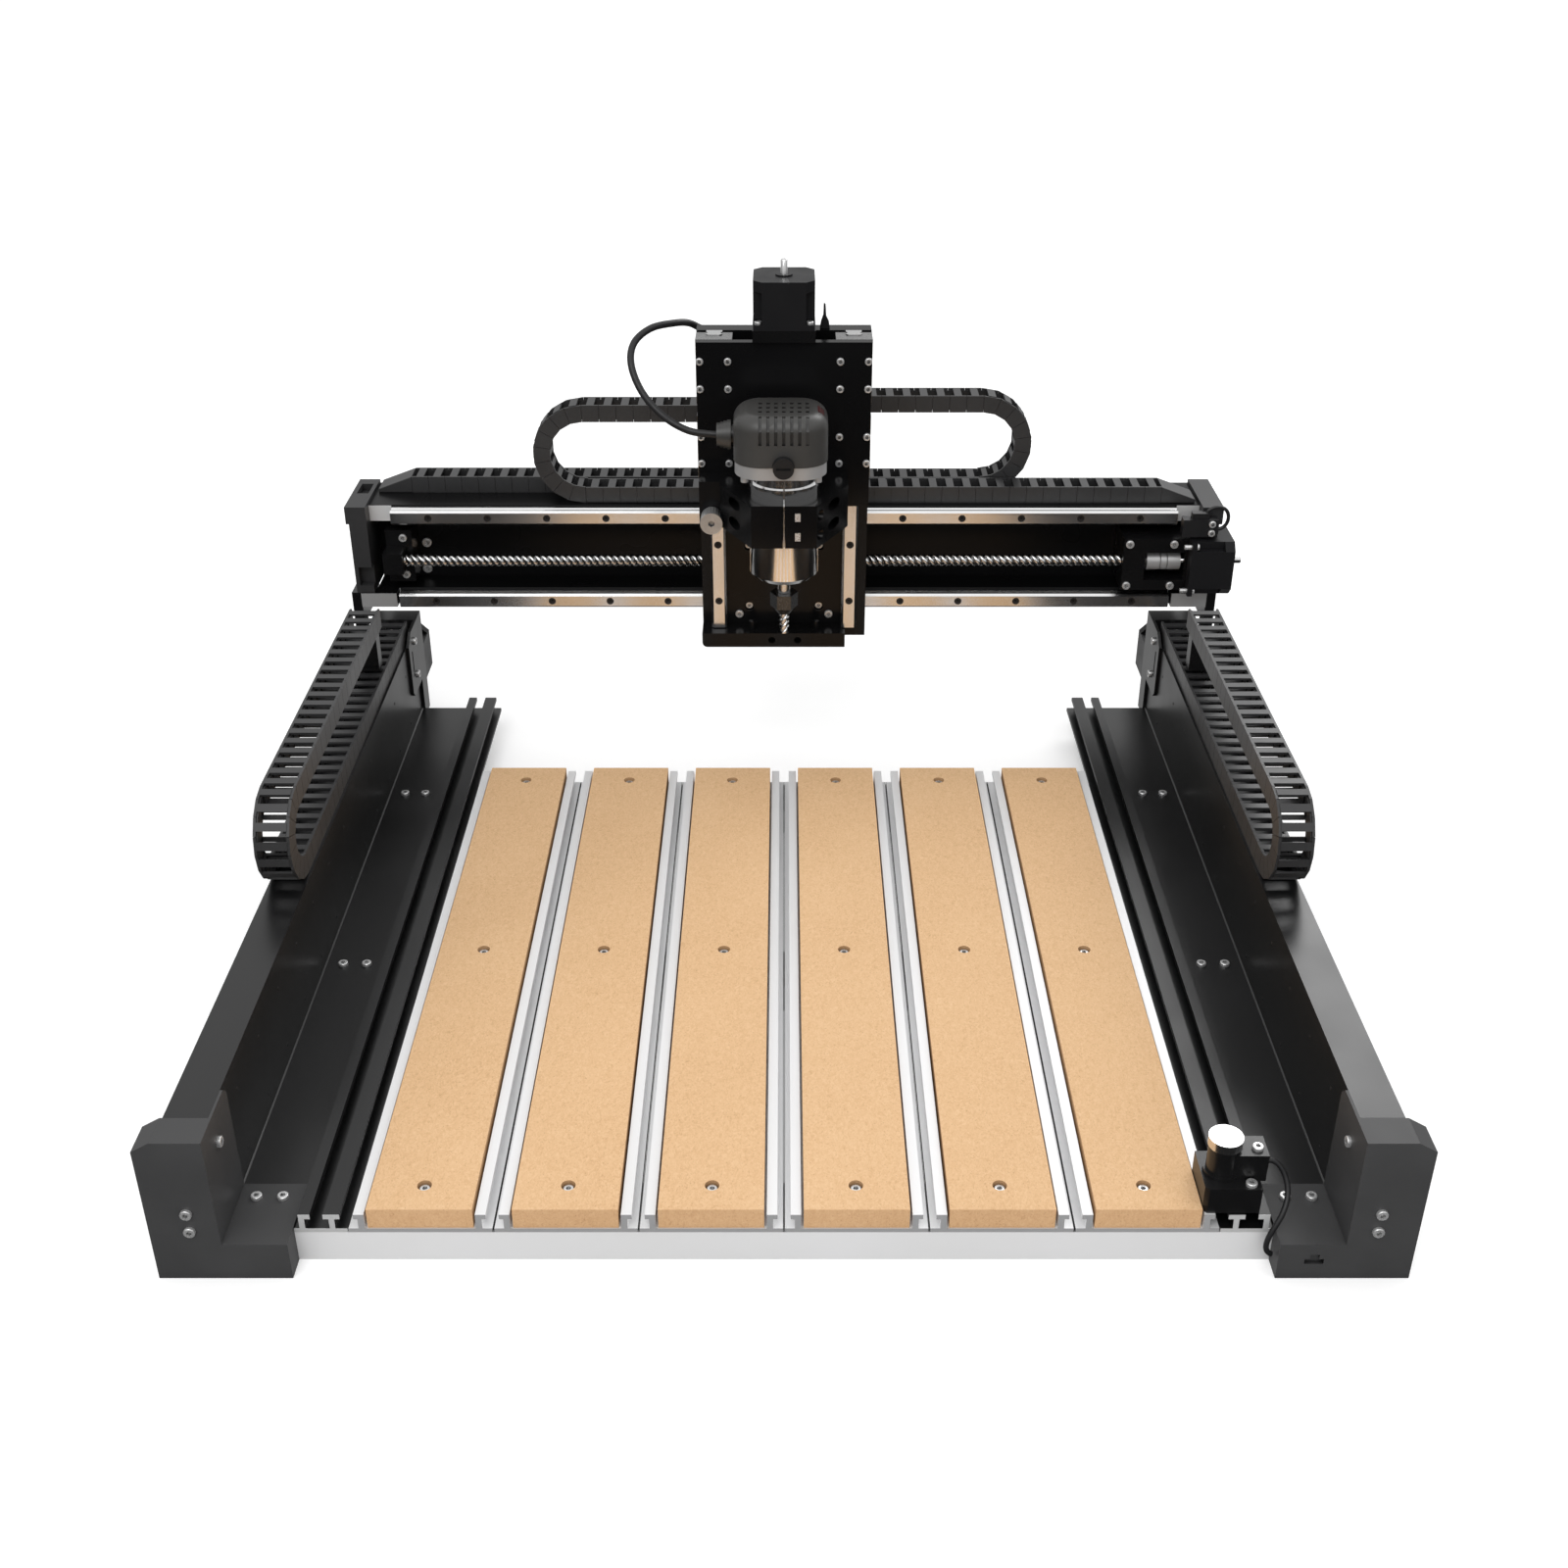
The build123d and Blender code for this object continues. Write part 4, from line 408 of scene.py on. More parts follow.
M = {
    "beam": anodised_black("black_anodised_y", 1, 0.32, bare=BEAM_POST_ENDS),
    "x_beam": anodised_black("black_anodised_beam", 0, 0.30, 0.13, bare=RAIL_SEATS, shade=0.75),
    "gantry": anodised_black("black_anodised_x", 0, 0.26, 0.26),
    "plate": anodised_black("black_anodised_z", 2, 0.18, 0.17),
    "foot": anodised_black("black_anodised_foot", 2, 0.26, 0.4, bare=FOOT_FACES, shade=0.34),
    "bar": clear_aluminium("clear_anodised_x", 0, 0.80, 0.25),
    "panel": clear_aluminium("clear_anodised_y", 1, 0.86, 0.30, grey_ends=PANEL_ENDS, seam_shadows=PANEL_SEAM_SHADOWS),
    "alloy": clear_aluminium("cast_alloy", 0, 0.52, 0.6),
    # lighter grey bead at the wall and shelf junction: a painted highlight, and its round shape catches the
    # lamps too
    "bead": clear_aluminium("bead_painted_highlight", 1, 0.10, 0.6),
    # the last number sets how far the painted shade in the cap's hollows reaches
    "cap": moulded("cap_plastic", (0.042, 0.042, 0.043), 0.5, shade_reach=0.012),
    "end": moulded("end_plastic", (0.026, 0.026, 0.027), 0.42, specular=0.35),
    "chain": moulded("chain_plastic", (0.030, 0.030, 0.031), 0.40, grain=2400.0, strength=0.15),
    # the last number sets how far the painted shade in the head's vents and hollows reaches
    "head": moulded("router_plastic", (0.041, 0.040, 0.038), 0.40, grain=1900.0, strength=0.2, shade_reach=0.014),
    "dark": moulded("dark_plastic", (0.010, 0.010, 0.011), 0.42, grain=1900.0, strength=0.2),
    "accent": moulded("switch_red", (0.05, 0.006, 0.006), 0.4, grain=1900.0, strength=0.2),
    "mdf": fibreboard("fibreboard"),
    "rail_x": ground_steel("rail_steel_x", 0),
    "rail_y": ground_steel("rail_steel_y", 1),
    "rail_z": ground_steel("rail_steel_z", 2),
    "can": ground_steel("can_steel", 2, 0.95, 0.13),
    "thread": bright_steel("thread_steel", 0.86, 0.16),
    # darker steel for the middle of each ball-screw groove: painted shade
    "groove": bright_steel("groove_painted_shade", 0.16, 0.25),
    # rail screw heads get near-black painted shade
    "screw": bright_steel("plated_screws", 0.80, 0.30, dark=X_RAIL_HEAD_SHADE + Z_RAIL_HEAD_SHADE, metallic=0.75),
    # the last number sets how far the painted shade in the knob's socket reaches
    "knob": bright_steel("knob_steel", 0.60, 0.34, metallic=0.8, shade_reach=0.012),
    "nut": bright_steel("blackened_nut", 0.10, 0.30, light=SPINDLE_NOSE),
    "block": bright_steel("block_steel", 0.34, 0.3),
    "motor": painted("motor_black", (0.010, 0.010, 0.011), 0.34),
    "cable": rubber("cable_rubber", (0.012, 0.012, 0.013), 0.45),
}


# ------------------------------------------------------------ mesh kit
def new_object(name, bm, material, body, smooth=None, bevel=0.0):
    """Turn a bmesh in metres into a piece that rides on a body."""
    bmesh.ops.remove_doubles(bm, verts=bm.verts, dist=1e-7)
    bmesh.ops.recalc_face_normals(bm, faces=bm.faces)
    mesh = bpy.data.meshes.new(name)
    bm.to_mesh(mesh)
    bm.free()
    mesh.materials.append(material)
    obj = bpy.data.objects.new(name, mesh)
    bpy.context.scene.collection.objects.link(obj)
    if smooth is not None:
        shade_by_angle(obj, smooth)
    if bevel:
        add_bevel(obj, bevel)
    if body:
        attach(obj, body)
    return obj


def shade_by_angle(obj, degrees):
    """Smooth faces, keeping edges sharper than the angle."""
    for polygon in obj.data.polygons:
        polygon.use_smooth = True
    obj.data.set_sharp_from_angle(angle=math.radians(degrees))


def add_bevel(obj, width, segments=2, angle=40):
    """Small rounded edges, so that they catch the light."""
    modifier = obj.modifiers.new("edge", "BEVEL")
    modifier.width = width
    modifier.segments = segments
    modifier.limit_method = "ANGLE"
    modifier.angle_limit = math.radians(angle)
    modifier.harden_normals = False
    modifier.use_clamp_overlap = True


def add_box(bm, low, high):
    """Box between two corners, in metres."""
    centre = (Vector(low) + Vector(high)) / 2
    size = Vector(high) - Vector(low)
    matrix = Matrix.Translation(centre) @ Matrix.Diagonal((*size, 1))
    bmesh.ops.create_cube(bm, size=1.0, matrix=matrix)


def add_prism(bm, outline, along, start, stop):
    """Outline of (u, v) points extruded along axis 0, 1 or 2. u and v are the other axes in X, Y, Z order."""
    def place(u, v, w):
        point = [u, v]
        point.insert(along, w)
        return bm.verts.new(point)

    first = [place(u, v, start) for u, v in outline]
    last = [place(u, v, stop) for u, v in outline]
    count = len(outline)
    bm.faces.new(first)
    bm.faces.new(reversed(last))
    for i in range(count):
        bm.faces.new((first[i], first[(i + 1) % count], last[(i + 1) % count], last[i]))


def axis_frame(axis):
    """Unit vectors u, v, w of a right-handed frame with w along axis 0, 1 or 2."""
    order = ((1, 2, 0), (2, 0, 1), (0, 1, 2))[axis]
    return [Vector([float(i == k) for i in range(3)]) for k in order]


def add_skin(bm, rings):
    """Close a row of rings with equal counts into a tube with flat ends, and return its side faces."""
    sides = []
    for low, high in zip(rings, rings[1:]):
        for k in range(len(low)):
            j = (k + 1) % len(low)
            sides.append(bm.faces.new((low[k], low[j], high[j], high[k])))
    bm.faces.new(reversed(rings[0]))
    bm.faces.new(rings[-1])
    return sides


def add_lathe(bm, profile, centre, axis, segments=48):
    """Revolve (radius, distance) points about an axis through centre."""
    u, v, w = axis_frame(axis)
    centre = Vector(centre)
    rings = []
    for radius, distance in profile:
        if radius < 1e-9:
            rings.append([bm.verts.new(centre + w * distance)])
            continue
        ring = []
        for i in range(segments):
            angle = 2 * math.pi * i / segments
            offset = u * (radius * math.cos(angle)) + v * (radius * math.sin(angle))
            ring.append(bm.verts.new(centre + offset + w * distance))
        rings.append(ring)
    for low, high in zip(rings, rings[1:]):
        for i in range(segments):
            j = (i + 1) % segments
            if len(low) == 1 and len(high) == 1:
                break
            if len(low) == 1:
                bm.faces.new((low[0], high[j], high[i]))
            elif len(high) == 1:
                bm.faces.new((low[i], low[j], high[0]))
            else:
                bm.faces.new((low[i], low[j], high[j], high[i]))


def spline(points, steps):
    """Catmull-Rom curve through points."""
    pts = [Vector(p) for p in points]
    pts = [pts[0] * 2 - pts[1]] + pts + [pts[-1] * 2 - pts[-2]]
    out = []
    for a, b, c, d in zip(pts, pts[1:], pts[2:], pts[3:]):
        for i in range(steps):
            t = i / steps
            out.append(0.5 * ((2 * b) + (c - a) * t + (2 * a - 5 * b + 4 * c - d) * t * t
                              + (3 * b - a - 3 * c + d) * t ** 3))
    out.append(pts[-2])
    return out


def add_tube(bm, path, radius, segments=16):
    """Round tube with closed ends along a list of points."""
    rings = []
    normal = None
    for i, point in enumerate(path):
        before = path[max(i - 1, 0)]
        after = path[min(i + 1, len(path) - 1)]
        tangent = (after - before).normalized()
        if normal is None:
            guess = Vector((0, 0, 1)) if abs(tangent.z) < 0.9 else Vector((1, 0, 0))
            normal = tangent.cross(guess).normalized()
        normal = (normal - tangent * normal.dot(tangent)).normalized()
        side = tangent.cross(normal)
        ring = []
        for k in range(segments):
            angle = 2 * math.pi * k / segments
            ring.append(bm.verts.new(point + (normal * math.cos(angle) + side * math.sin(angle)) * radius))
        rings.append(ring)
    add_skin(bm, rings)


# ------------------------------------------------------------ CAD nodes that keep their shape
def dress(node, material, bevel=0.0):
    """Give a CAD node its material, smooth curved faces and a fine edge."""
    obj = NODES[node]
    obj.data.materials.clear()
    obj.data.materials.append(material)
    shade_by_angle(obj, 32)
    if bevel:
        add_bevel(obj, bevel)


def threaded(bm, start, stop, centre, axis, lead, pitch):
    """Ball-screw shaft with round-bottomed right-hand grooves, whose middles take the darker second material
    as painted shade.
    """
    step, segments, roundness = 0.0008, 24, 0.8
    u, v, w = axis_frame(axis)
    centre = Vector(centre)
    count = round((stop - start) / step)
    rings = []
    for i in range(count + 1):
        place = start + (stop - start) * i / count
        ring = []
        for k in range(segments):
            turn = k / segments
            phase = groove_phase(place, turn, lead, pitch)
            sunk = math.sin(math.pi * (phase - LAND) / (1 - LAND)) ** roundness if phase > LAND else 0.0
            angle = 2 * math.pi * turn
            reach = SCREW_RADIUS - GROOVE_DEPTH * sunk
            offset = u * (reach * math.cos(angle)) + v * (reach * math.sin(angle))
            ring.append(bm.verts.new(centre + w * place + offset))
        rings.append(ring)
    for n, face in enumerate(add_skin(bm, rings)):
        place = start + (stop - start) * (n // segments + 0.5) / count
        phase = groove_phase(place, (n % segments + 0.5) / segments, lead, pitch)
        # the middle of each groove takes the darker second material: painted shade
        face.material_index = int(LAND + 0.12 < phase < 0.94)


def groove_phase(place, turn, lead, pitch):
    """Share of a pitch, 0 to 1, at a place along the screw and a share of a turn round it."""
    return ((place - lead * turn) / pitch) % 1.0


def plain_shaft(bm, start, stop, radius, centre, axis):
    """Turned shaft with chamfered ends."""
    edge = min(0.0005, radius * 0.3)
    profile = [(0, start), (radius - edge, start), (radius, start + edge), (radius, stop - edge),
               (radius - edge, stop), (0, stop)]
    add_lathe(bm, profile, centre, axis, 24)


def ball_screws():
    """Threaded shafts with their journals, sleeves and motor shafts; node and body share a name."""
    plans = [
        ("x_screw", 0, (0, 0.4614, 0.2068), (-0.386, 0.344), LEAD_XY, PITCH_XY,
         [(-0.407, -0.386, JOURNAL_RADIUS), (0.344, 0.383, JOURNAL_RADIUS), (0.386, 0.467, SHAFT_RADIUS)]),
        ("z_screw", 2, (0, 0.404, 0), (0.1585, 0.432), LEAD_Z, PITCH_Z,
         [(0.149, 0.1585, JOURNAL_RADIUS), (0.432, 0.434, JOURNAL_RADIUS), (0.434, 0.466, SLEEVE_RADIUS),
          (0.466, 0.525, SHAFT_RADIUS)]),
    ]
    for side, tag in ((-1, "left"), (1, "right")):
        plans.append((
            f"y_screw_{tag}", 1, (side * 0.417, 0, 0.070), (-0.300, 0.472), LEAD_XY, PITCH_XY,
            [(0.472, 0.483, JOURNAL_RADIUS), (0.483, 0.4995, SLEEVE_RADIUS), (0.4995, 0.557, SHAFT_RADIUS)],
        ))
    for name, axis, centre, ends, lead, pitch, shafts in plans:
        bm = bmesh.new()
        threaded(bm, ends[0], ends[1], centre, axis, lead, pitch)
        for start, stop, radius in shafts:
            plain_shaft(bm, start, stop, radius, centre, axis)
        obj = new_object(name + "_thread", bm, M["thread"], name, smooth=50)
        # second material: painted shade in the grooves
        obj.data.materials.append(M["groove"])
        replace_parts(obj, name)


# ------------------------------------------------------------ router details
def spiral_cutter():
    """Cutter with two spiral flutes and a plain shank."""
    segments, steps, sharpness = 32, 50, 0.6
    flute = CUTTER_SHANK - CUTTER_TIP
    heights = [CUTTER_TIP + flute * i / steps for i in range(steps + 1)] + [CUTTER_SHANK + 0.001, CUTTER_TOP]
    bm = bmesh.new()
    rings = []
    for z in heights:
        cut = FLUTE_DEPTH if z <= CUTTER_SHANK else 0.0
        ring = []
        for k in range(segments):
            angle = 2 * math.pi * k / segments
            lobe = max(0.0, math.cos(2 * (angle - 2 * math.pi * (z - CUTTER_TIP) / FLUTE_TURN)))
            reach = SHAFT_RADIUS - cut * lobe ** sharpness
            ring.append(bm.verts.new((reach * math.cos(angle), ROUTER_Y + reach * math.sin(angle), z)))
        rings.append(ring)
    add_skin(bm, rings)
    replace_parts(new_object("spiral_cutter", bm, M["thread"], "spindle", smooth=45), "cutter")


def power_cord():
    """Cord that leaves the router's head to the left and loops back to the carriage plate."""
    cord = [
        (-0.047, ROUTER_Y, 0.3833), (-0.056, ROUTER_Y, 0.3833), (-0.065, ROUTER_Y, 0.3833),
        (-0.088, 0.3375, 0.3862), (-0.1112, 0.345, 0.3977), (-0.130, 0.356, 0.4163), (-0.140, 0.370, 0.4376),
        (-0.1378, 0.385, 0.4533), (-0.1232, 0.402, 0.4621), (-0.103, 0.420, 0.462), (-0.090, 0.437, 0.4575),
        (-0.079, 0.446, 0.450),
    ]
    bm = bmesh.new()
    add_tube(bm, spline(cord, 10), CORD_RADIUS, 20)
    obj = new_object("power_cord", bm, M["cable"], None, smooth=60)
    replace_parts(obj, "router_cord")
    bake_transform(obj)


def clamp_strip():
    """Bright strip seen through the clamp's split."""
    bm = bmesh.new()
    add_box(bm, (-0.0007, 0.2899, 0.2903), (0.0007, 0.3020, 0.3307))
    add_box(bm, (-0.0007, 0.2985, 0.3307), (0.0007, 0.3030, 0.3536))
    new_object("clamp_split_strip", bm, M["thread"], "z_carriage", bevel=0.0002)


# ------------------------------------------------------------ frame details
def wall_bead(side, tag):
    """Fillet bead where a side wall meets its shelf, lighter grey as a painted highlight; side is -1 for left
    and 1 for right.
    """
    fillet = [(0.0001, 0.0), (0.0012, 0.0), (0.0009, 0.0005), (0.0004, 0.0009), (0.0001, 0.0012)]
    bm = bmesh.new()
    add_prism(bm, [(side * WALL_X - side * x, SHELF_Z + z) for x, z in fillet], 1, -0.2715, 0.4755)
    new_object(f"wall_bead_{tag}", bm, M["bead"], "frame", smooth=60)


def wall_plugs(side, tag):
    """Small round plugs in two rows on a side wall's inner face."""
    first_y = -0.246
    plug = [(0, 0.0003), (0.0013, 0.0003), (0.0016, 0.0), (0, 0.0)]
    bm = bmesh.new()
    for i in range(PLUG_COUNT):
        for z in PLUG_ROWS:
            centre = (side * WALL_X, first_y + i * PLUG_PITCH, z)
            add_lathe(bm, [(radius, -side * height) for radius, height in plug], centre, 0, 12)
    new_object(f"wall_plugs_{tag}", bm, M["dark"], "frame", smooth=40)


def cable_clip():
    """Sprung clip that holds the cable behind the Z motor."""
    outline = [
        (0.0335, 0.4562), (0.0430, 0.4562), (0.0420, 0.4630), (0.0395, 0.4680),
        (0.0388, 0.4790), (0.0370, 0.4800), (0.0366, 0.4690), (0.0345, 0.4630),
    ]
    bm = bmesh.new()
    add_prism(bm, outline, 1, 0.4215, 0.4255)
    new_object("z_cable_clip", bm, M["dark"], "x_carriage", bevel=0.0004)


def dress_cad():
    """Materials and edges for every CAD node that stays visible."""
    plan = {
        "crossbars": ("bar", 0.0004), "table_panels": ("panel", 0.00025),
        "y_beam_left": ("beam", 0.0003), "y_beam_right": ("beam", 0.0003),
        "front_cap_left": ("cap", 0.0012), "front_cap_right": ("cap", 0.0012),
        "rear_mounts": ("beam", 0.0006), "y_rails": ("rail_y", 0.0), "y_motors": ("motor", 0.0006),
        "probe_base": ("beam", 0.0004), "probe_cable": ("cable", 0.0), "probe_button": ("rail_z", 0.0004),
        "x_beam": ("x_beam", 0.0005), "gantry_ends": ("end", 0.0008), "y_carriages": ("foot", 0.0006),
        "y_blocks": ("block", 0.0006), "y_nuts": ("plate", 0.0006), "x_rails": ("rail_x", 0.0),
        "x_screw_mounts": ("gantry", 0.0006), "x_motor": ("motor", 0.0006), "limit_switch": ("dark", 0.0005),
        "x_carriage_plate": ("plate", 0.0006), "x_blocks": ("block", 0.0006), "x_nut": ("plate", 0.0006),
        "z_rails": ("rail_z", 0.0), "z_bottom_plate": ("plate", 0.0006), "z_motor_mount": ("gantry", 0.0006),
        "z_motor": ("motor", 0.0006), "z_plate": ("plate", 0.0008), "z_blocks": ("block", 0.0006),
        "z_nut": ("plate", 0.0006), "router_mount": ("plate", 0.0008), "router_can": ("can", 0.0004),
        "router_band": ("alloy", 0.0008), "router_head": ("head", 0.0005), "brush_cap": ("dark", 0.0005),
        "strain_relief": ("head", 0.0004), "mount_knob": ("knob", 0.0002), "power_switch": ("accent", 0.0003),
        "collet_nut": ("nut", 0.0004), "x_coupler": ("alloy", 0.0003), "mdf_slats": ("mdf", 0.0006),
    }
    for node, (key, bevel) in plan.items():
        dress(node, M[key], bevel)
    for node in ("slat_screws", "frame_screws", "gantry_screws", "carriage_screws", "z_plate_screws"):
        dress(node, M["screw"])


# ------------------------------------------------------------ cable chains
def swept_box(bm, path, s0, s1, c0, c1, u0, u1):
    """Box on a chain's path: s0 to s1 along it, c0 to c1 across it and u0 to u1 from its outside inwards."""
    corners = ((c0, u0), (c1, u0), (c1, u1), (c0, u1))
    add_skin(bm, [[bm.verts.new(path(s, c, u)) for c, u in corners] for s in (s0, s1)])


def chain_links(bm, path, length, width, height, count, bars):
    """Links of a cable chain: side plates that lap over each other, and bars across each side of a link."""
    lap, tab_edge = 0.3, 0.12
    pitch = length / count
    for i in range(count):
        s = i * pitch
        for near in (True, False):
            c = 0.0 if near else width - CHAIN_PLATE
            swept_box(bm, path, s + CHAIN_GAP, s + pitch - CHAIN_GAP, c, c + CHAIN_PLATE, 0.0, height)
            inner = c + CHAIN_PLATE if near else c - CHAIN_TAB
            swept_box(bm, path, max(s - lap * pitch, 0.0), s + lap * pitch, inner, inner + CHAIN_TAB,
                      height * tab_edge, height * (1 - tab_edge))
        for u, (begin, stop) in zip((0.0, height - CHAIN_BAR), bars):
            swept_box(bm, path, s + begin * pitch, s + stop * pitch, CHAIN_PLATE, width - CHAIN_PLATE,
                      u, u + CHAIN_BAR)


def straight_path(start, along, across, up):
    """Path of a straight run; up points from the chain's outside to its inside."""
    start, along, across, up = Vector(start), Vector(along), Vector(across), Vector(up)

    def path(s, c, u):
        return start + along * s + across * c + up * u
    return path


def bend_path(centre, outward, across, outer, height):
    """Path of a half turn that starts at the top and bulges outward."""
    centre, outward, across = Vector(centre), Vector(outward), Vector(across)
    up = Vector((0, 0, 1))
    mean = outer - height / 2

    def path(s, c, u):
        angle = s / mean
        radial = up * math.cos(angle) + outward * math.sin(angle)
        return centre + radial * (outer - u) + across * c
    return path


def chain_straight(name, start, along, across, up, length, width, height, body, nodes=(), bars=EVEN_BARS):
    """A straight run of links starting at a corner point."""
    bm = bmesh.new()
    count = max(1, round(length / CHAIN_PITCH))
    chain_links(bm, straight_path(start, along, across, up), length, width, height, count, bars)
    return finish_chain(name, bm, body, nodes)


def chain_bend(name, centre, outward, across, width, height, outer, body, nodes=()):
    """Half a ring of links bulging towards outward."""
    bm = bmesh.new()
    length = math.pi * (outer - height / 2)
    count = round(math.pi * outer / CHAIN_PITCH)
    path = bend_path(centre, outward, across, outer, height)
    chain_links(bm, path, length, width, height, count, EVEN_BARS)
    finish_chain(name, bm, body, nodes)


def finish_chain(name, bm, body, nodes):
    """Chain piece with its plastic and the CAD nodes it stands for."""
    obj = new_object(name, bm, M["chain"], body, smooth=24)
    if nodes:
        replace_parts(obj, *nodes)
    return obj


def chain_anchor(name, start, along, across, up, body):
    """End bracket of a chain: a moulded tongue with two screws."""
    path = straight_path(start, along, across, up)
    bm = bmesh.new()
    swept_box(bm, path, -0.004, 0.017, 0.004, 0.025, 0.0, 0.0025)
    swept_box(bm, path, -0.004, 0.004, 0.003, 0.0055, 0.0, 0.012)
    swept_box(bm, path, -0.004, 0.004, 0.0235, 0.026, 0.0, 0.012)
    new_object(name, bm, M["chain"], body, bevel=0.0005)
    head = [(0, 0.0018), (0.0012, 0.0018), (0.0022, 0.0013), (0.0026, 0.0), (0, 0.0)]
    bm = bmesh.new()
    for c in (0.0095, 0.0195):
        add_lathe(bm, head, path(0.0105, c, 0.0025), 2, 16)
    new_object(name + "_screws", bm, M["screw"], body, smooth=40)


def y_chain(side, tag):
    """One Y chain: laid run on the side beam, trailing run and bend, and upper run to the gantry."""
    width, height = 0.029, 0.019
    base, top = 0.1221, 0.2038
    turn, end, anchor, trail = 0.002, 0.347, 0.455, 0.300
    edge = side * 0.421
    across = (-side, 0, 0)
    along = (0, 1, 0)
    up, down = (0, 0, 1), (0, 0, -1)
    chain_straight(f"y_chain_{tag}_laid", (edge, turn, base), along, across, up,
                   anchor - turn, width, height, "frame", ("y_chain_bases",))
    chain_bend(f"y_chain_{tag}_loop", (edge, turn, (base + top) / 2), (0, -1, 0), across,
               width, height, (top - base) / 2, "y_chain_bends", ("y_chain_bends",))
    run = chain_straight(f"y_chain_{tag}_upper", (edge, turn, top), along, across, down,
                         end - turn, width, height, "gantry", ("y_chain_tops",), STAGGERED_BARS)
    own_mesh(run)
    low = (edge - side * CHAIN_INSET, turn, base + CHAIN_INSET)
    chain_straight(f"y_chain_{tag}_trailing", low, along, across, up,
                   trail, width - 2 * CHAIN_INSET, height - 2 * CHAIN_INSET, "y_chain_bends")
    chain_anchor(f"y_chain_{tag}_anchor", (edge, anchor, base), along, across, up, "frame")


def x_chain(side, y0, tag):
    """One X chain on the gantry, with its bend on the opposite side to its anchor."""
    width, height = 0.028, 0.017
    base, top = 0.2613, 0.3634
    bend, swing, anchor, ramp_end, overrun = 0.201, 0.1555, 0.383, 0.418, 0.022
    across = (0, 1, 0)
    inward = (-side, 0, 0)
    up, down = (0, 0, 1), (0, 0, -1)
    fixed_from = side * (bend - swing)
    length = abs(-side * anchor - fixed_from)
    chain_straight(f"x_chain_{tag}_laid", (fixed_from, y0, base), inward, across, up,
                   length, width, height, "gantry", ("x_chain_bases",))
    chain_bend(f"x_chain_{tag}_loop", (side * bend, y0, (base + top) / 2), (side, 0, 0), across,
               width, height, (top - base) / 2, "x_chain_bends", ("x_chain_bends",))
    low = (side * bend, y0 + CHAIN_INSET, base + CHAIN_INSET)
    chain_straight(f"x_chain_{tag}_trailing", low, inward, across, up,
                   2 * swing, width - 2 * CHAIN_INSET, height - 2 * CHAIN_INSET, "x_chain_bends")
    ramp = [(-side * anchor, base), (-side * anchor, base + height), (-side * ramp_end, base + 0.004),
            (-side * ramp_end, base)]
    bm = bmesh.new()
    add_prism(bm, ramp, 1, y0, y0 + width)
    new_object(f"x_chain_{tag}_ramp", bm, M["chain"], "gantry", bevel=0.0006)
    run = chain_straight(f"x_chain_{tag}_upper", (side * bend, y0, top), inward, across, down,
                         bend + overrun, width, height, None)
    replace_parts(run, "x_chain_tops")
    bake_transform(run)


# ------------------------------------------------------------ stage
def map_range(tree, value, low, high, to_low, to_high, kind="LINEAR"):
    """Map a value from one range to another."""
    made = tree.nodes.new("ShaderNodeMapRange")
    made.interpolation_type = kind
    for name, number in zip(("From Min", "From Max", "To Min", "To Max"), (low, high, to_low, to_high)):
        made.inputs[name].default_value = number
    tree.links.new(value, made.inputs["Value"])
    return made.outputs["Result"]


def mix(tree, share, first, second, kind="MIX"):
    """Mix two colours, each a grey level or a socket; so is the share of the second."""
    made = tree.nodes.new("ShaderNodeMixRGB")
    made.blend_type = kind
    for name, value in (("Fac", share), ("Color1", first), ("Color2", second)):
        if not isinstance(value, float):
            tree.links.new(value, made.inputs[name])
        elif name == "Fac":
            made.inputs[name].default_value = value
        else:
            made.inputs[name].default_value = (value, value, value, 1)
    return made.outputs["Color"]


def grey_ramp(tree, value, stops):
    """Ramp through (place, grey level) stops."""
    ramp = tree.nodes.new("ShaderNodeValToRGB")
    elements = ramp.color_ramp.elements
    for i, (place, grey) in enumerate(stops):
        element = elements[i] if i < 2 else elements.new(place)
        element.position = place
        element.color = (grey, grey, grey, 1)
    tree.links.new(value, ramp.inputs["Fac"])
    return ramp.outputs["Color"]


def sky():
    """White for the camera and pale for diffuse light; reflections see a dome that is dark below."""
    world = bpy.data.worlds.new("studio")
    bpy.context.scene.world = world
    world.use_nodes = True
    tree = world.node_tree
    rays = tree.nodes.new("ShaderNodeLightPath")
    coordinates = tree.nodes.new("ShaderNodeTexCoord")
    split = tree.nodes.new("ShaderNodeSeparateXYZ")
    tree.links.new(coordinates.outputs["Generated"], split.inputs["Vector"])
    height = map_range(tree, split.outputs["Z"], -1.0, 1.0, 0.0, 1.0)
    dome = grey_ramp(tree, height, [(0.49, 0.0), (0.52, 0.12), (0.64, 0.50), (0.74, 0.90), (1.0, 1.1)])
    behind = map_range(tree, split.outputs["Y"], 0.25, 0.75, 0.015, 0.55, "SMOOTHSTEP")
    mirrored = mix(tree, 1.0, dome, behind, "LIGHTEN")
    lighting = mix(tree, rays.outputs["Is Glossy Ray"], 0.88, mirrored)
    seen = mix(tree, rays.outputs["Is Camera Ray"], lighting, 1.1)
    tree.links.new(seen, tree.nodes["Background"].inputs["Color"])


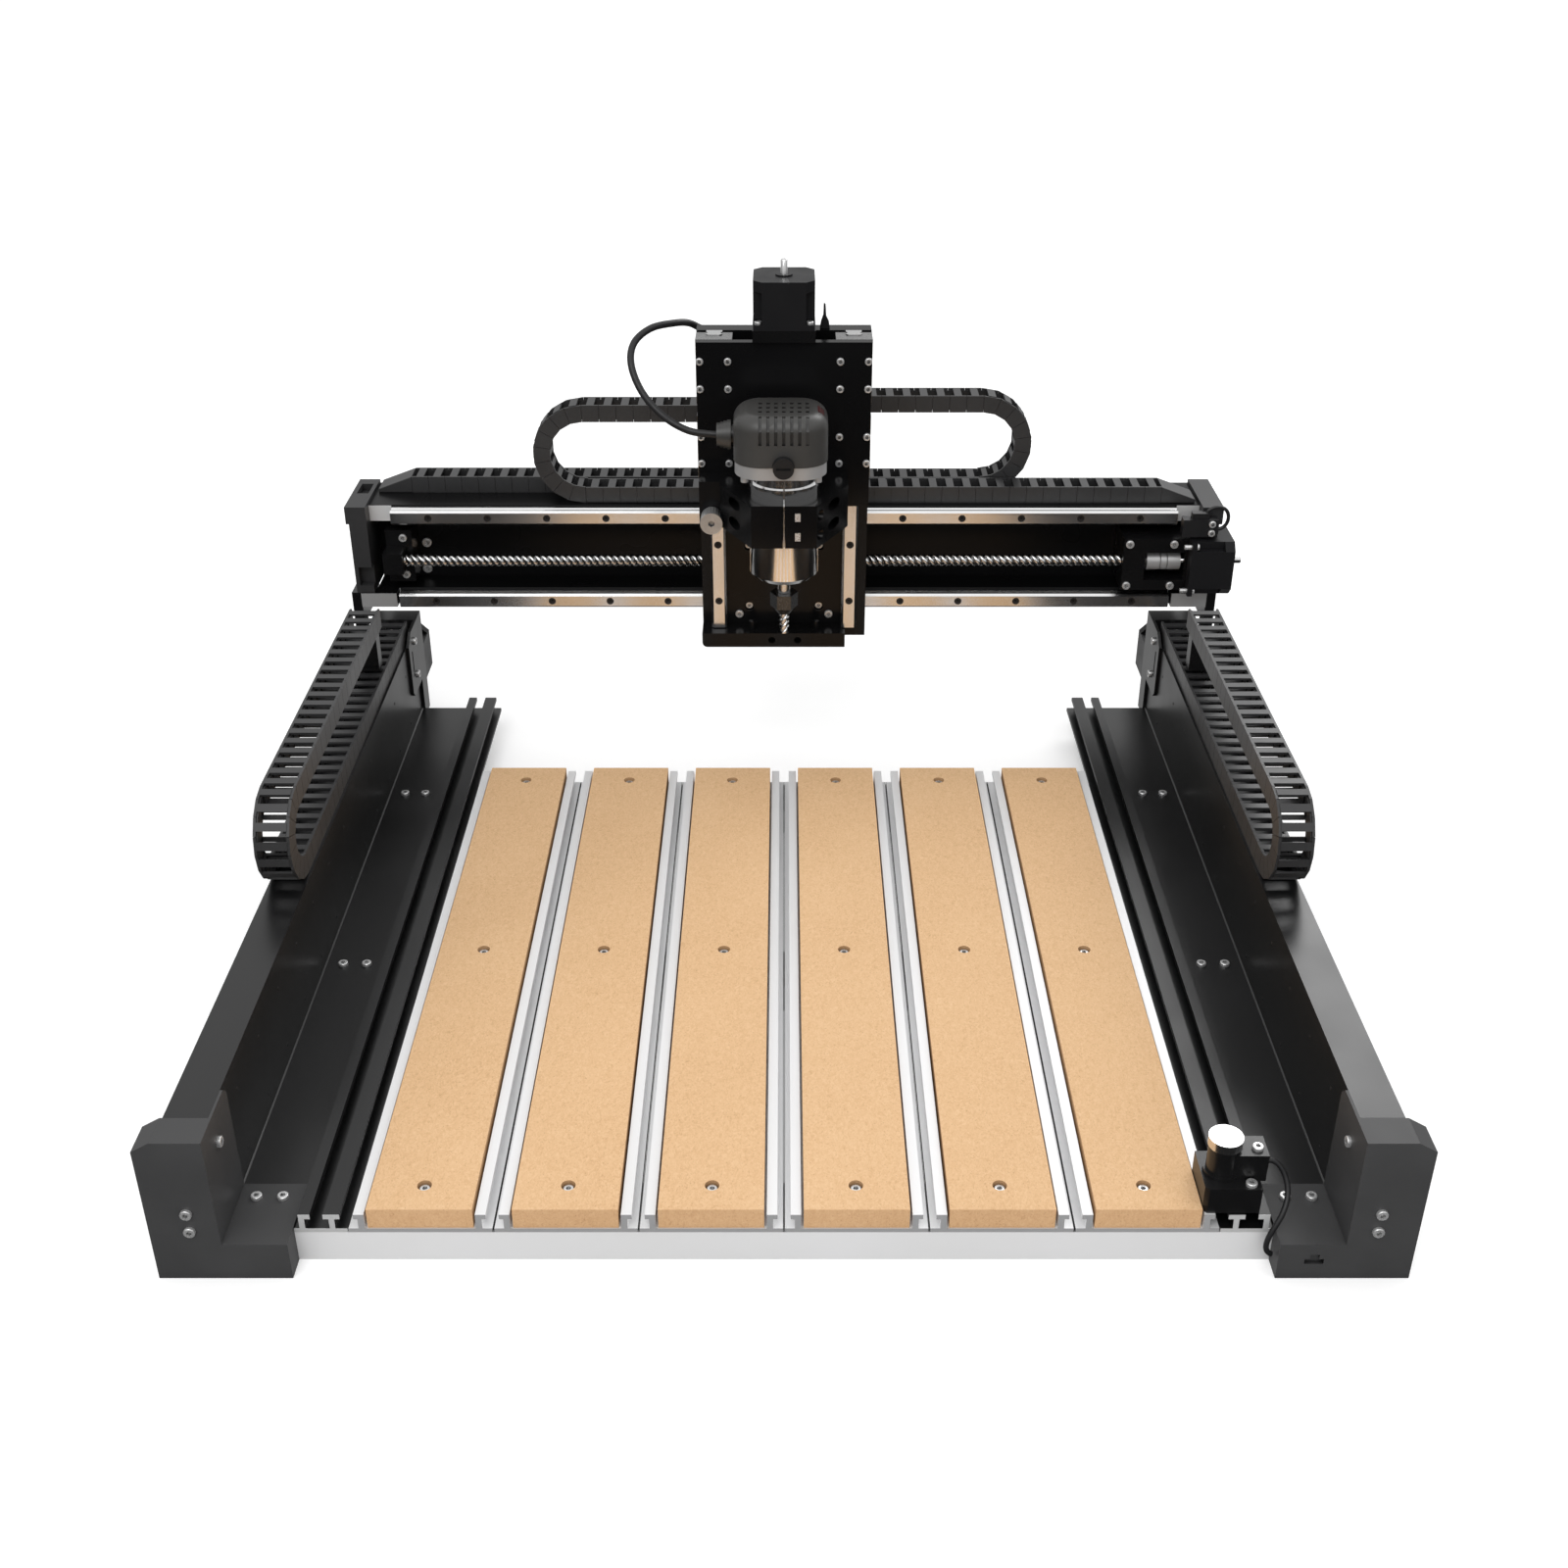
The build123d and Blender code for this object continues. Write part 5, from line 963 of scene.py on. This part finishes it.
def floor():
    """Pale paper floor, faintly lit of its own."""
    mesh = bpy.data.meshes.new("floor")
    size = 12.0
    corners = [(-size, -size, 0), (size, -size, 0), (size, size, 0), (-size, size, 0)]
    mesh.from_pydata(corners, [], [(0, 1, 2, 3)])
    obj = bpy.data.objects.new("floor", mesh)
    obj.location.z = -0.0002
    obj.visible_glossy = False
    bpy.context.scene.collection.objects.link(obj)
    paper = Mat("paper", (0.9, 0.9, 0.9), 0.0, 0.9, 0.05)
    paper.tint(paper.noise(3.0), [(0.3, (0.86, 0.86, 0.86)), (0.7, (0.87, 0.87, 0.87))])
    paper.shader.inputs["Emission Color"].default_value = (1, 1, 1, 1)
    paper.shader.inputs["Emission Strength"].default_value = 0.30
    mesh.materials.append(paper.mat)


def lamp(name, place, size, power):
    """Round soft lamp aimed at the middle of the table; size in metres, power in watts."""
    light = bpy.data.lights.new(name, "AREA")
    light.shape = "DISK"
    light.size = size
    light.energy = power
    obj = bpy.data.objects.new(name, light)
    obj.location = place
    obj.rotation_euler = (Vector((0, 0.1, 0.1)) - Vector(place)).to_track_quat("-Z", "Y").to_euler()
    bpy.context.scene.collection.objects.link(obj)


def camera():
    """Camera in front of the machine, looking down at it, and plain colours."""
    data = bpy.data.cameras.new("camera")
    data.lens = CAMERA_LENS
    data.sensor_width = 36.0
    eye = bpy.data.objects.new("camera", data)
    eye.location = CAMERA_PLACE
    eye.rotation_euler = (math.radians(CAMERA_TILT), 0, 0)
    bpy.context.scene.collection.objects.link(eye)
    bpy.context.scene.camera = eye
    bpy.context.scene.view_settings.view_transform = "Standard"
    bpy.context.scene.view_settings.look = "None"


# ------------------------------------------------------------ build
SIDES = ((-1, "left"), (1, "right"))
dress_cad()
ball_screws()
for side, tag in SIDES:
    y_chain(side, tag)
x_chain(-1, 0.480, "front")
x_chain(1, 0.510, "rear")
spiral_cutter()
power_cord()
clamp_strip()
for side, tag in SIDES:
    wall_bead(side, tag)
    wall_plugs(side, tag)
cable_clip()
sky()
floor()
lamp("key", (-0.6, -1.8, 2.6), 1.8, 28.0)
lamp("back_right", (1.5, 2.4, 2.1), 1.4, 24.0)
camera()
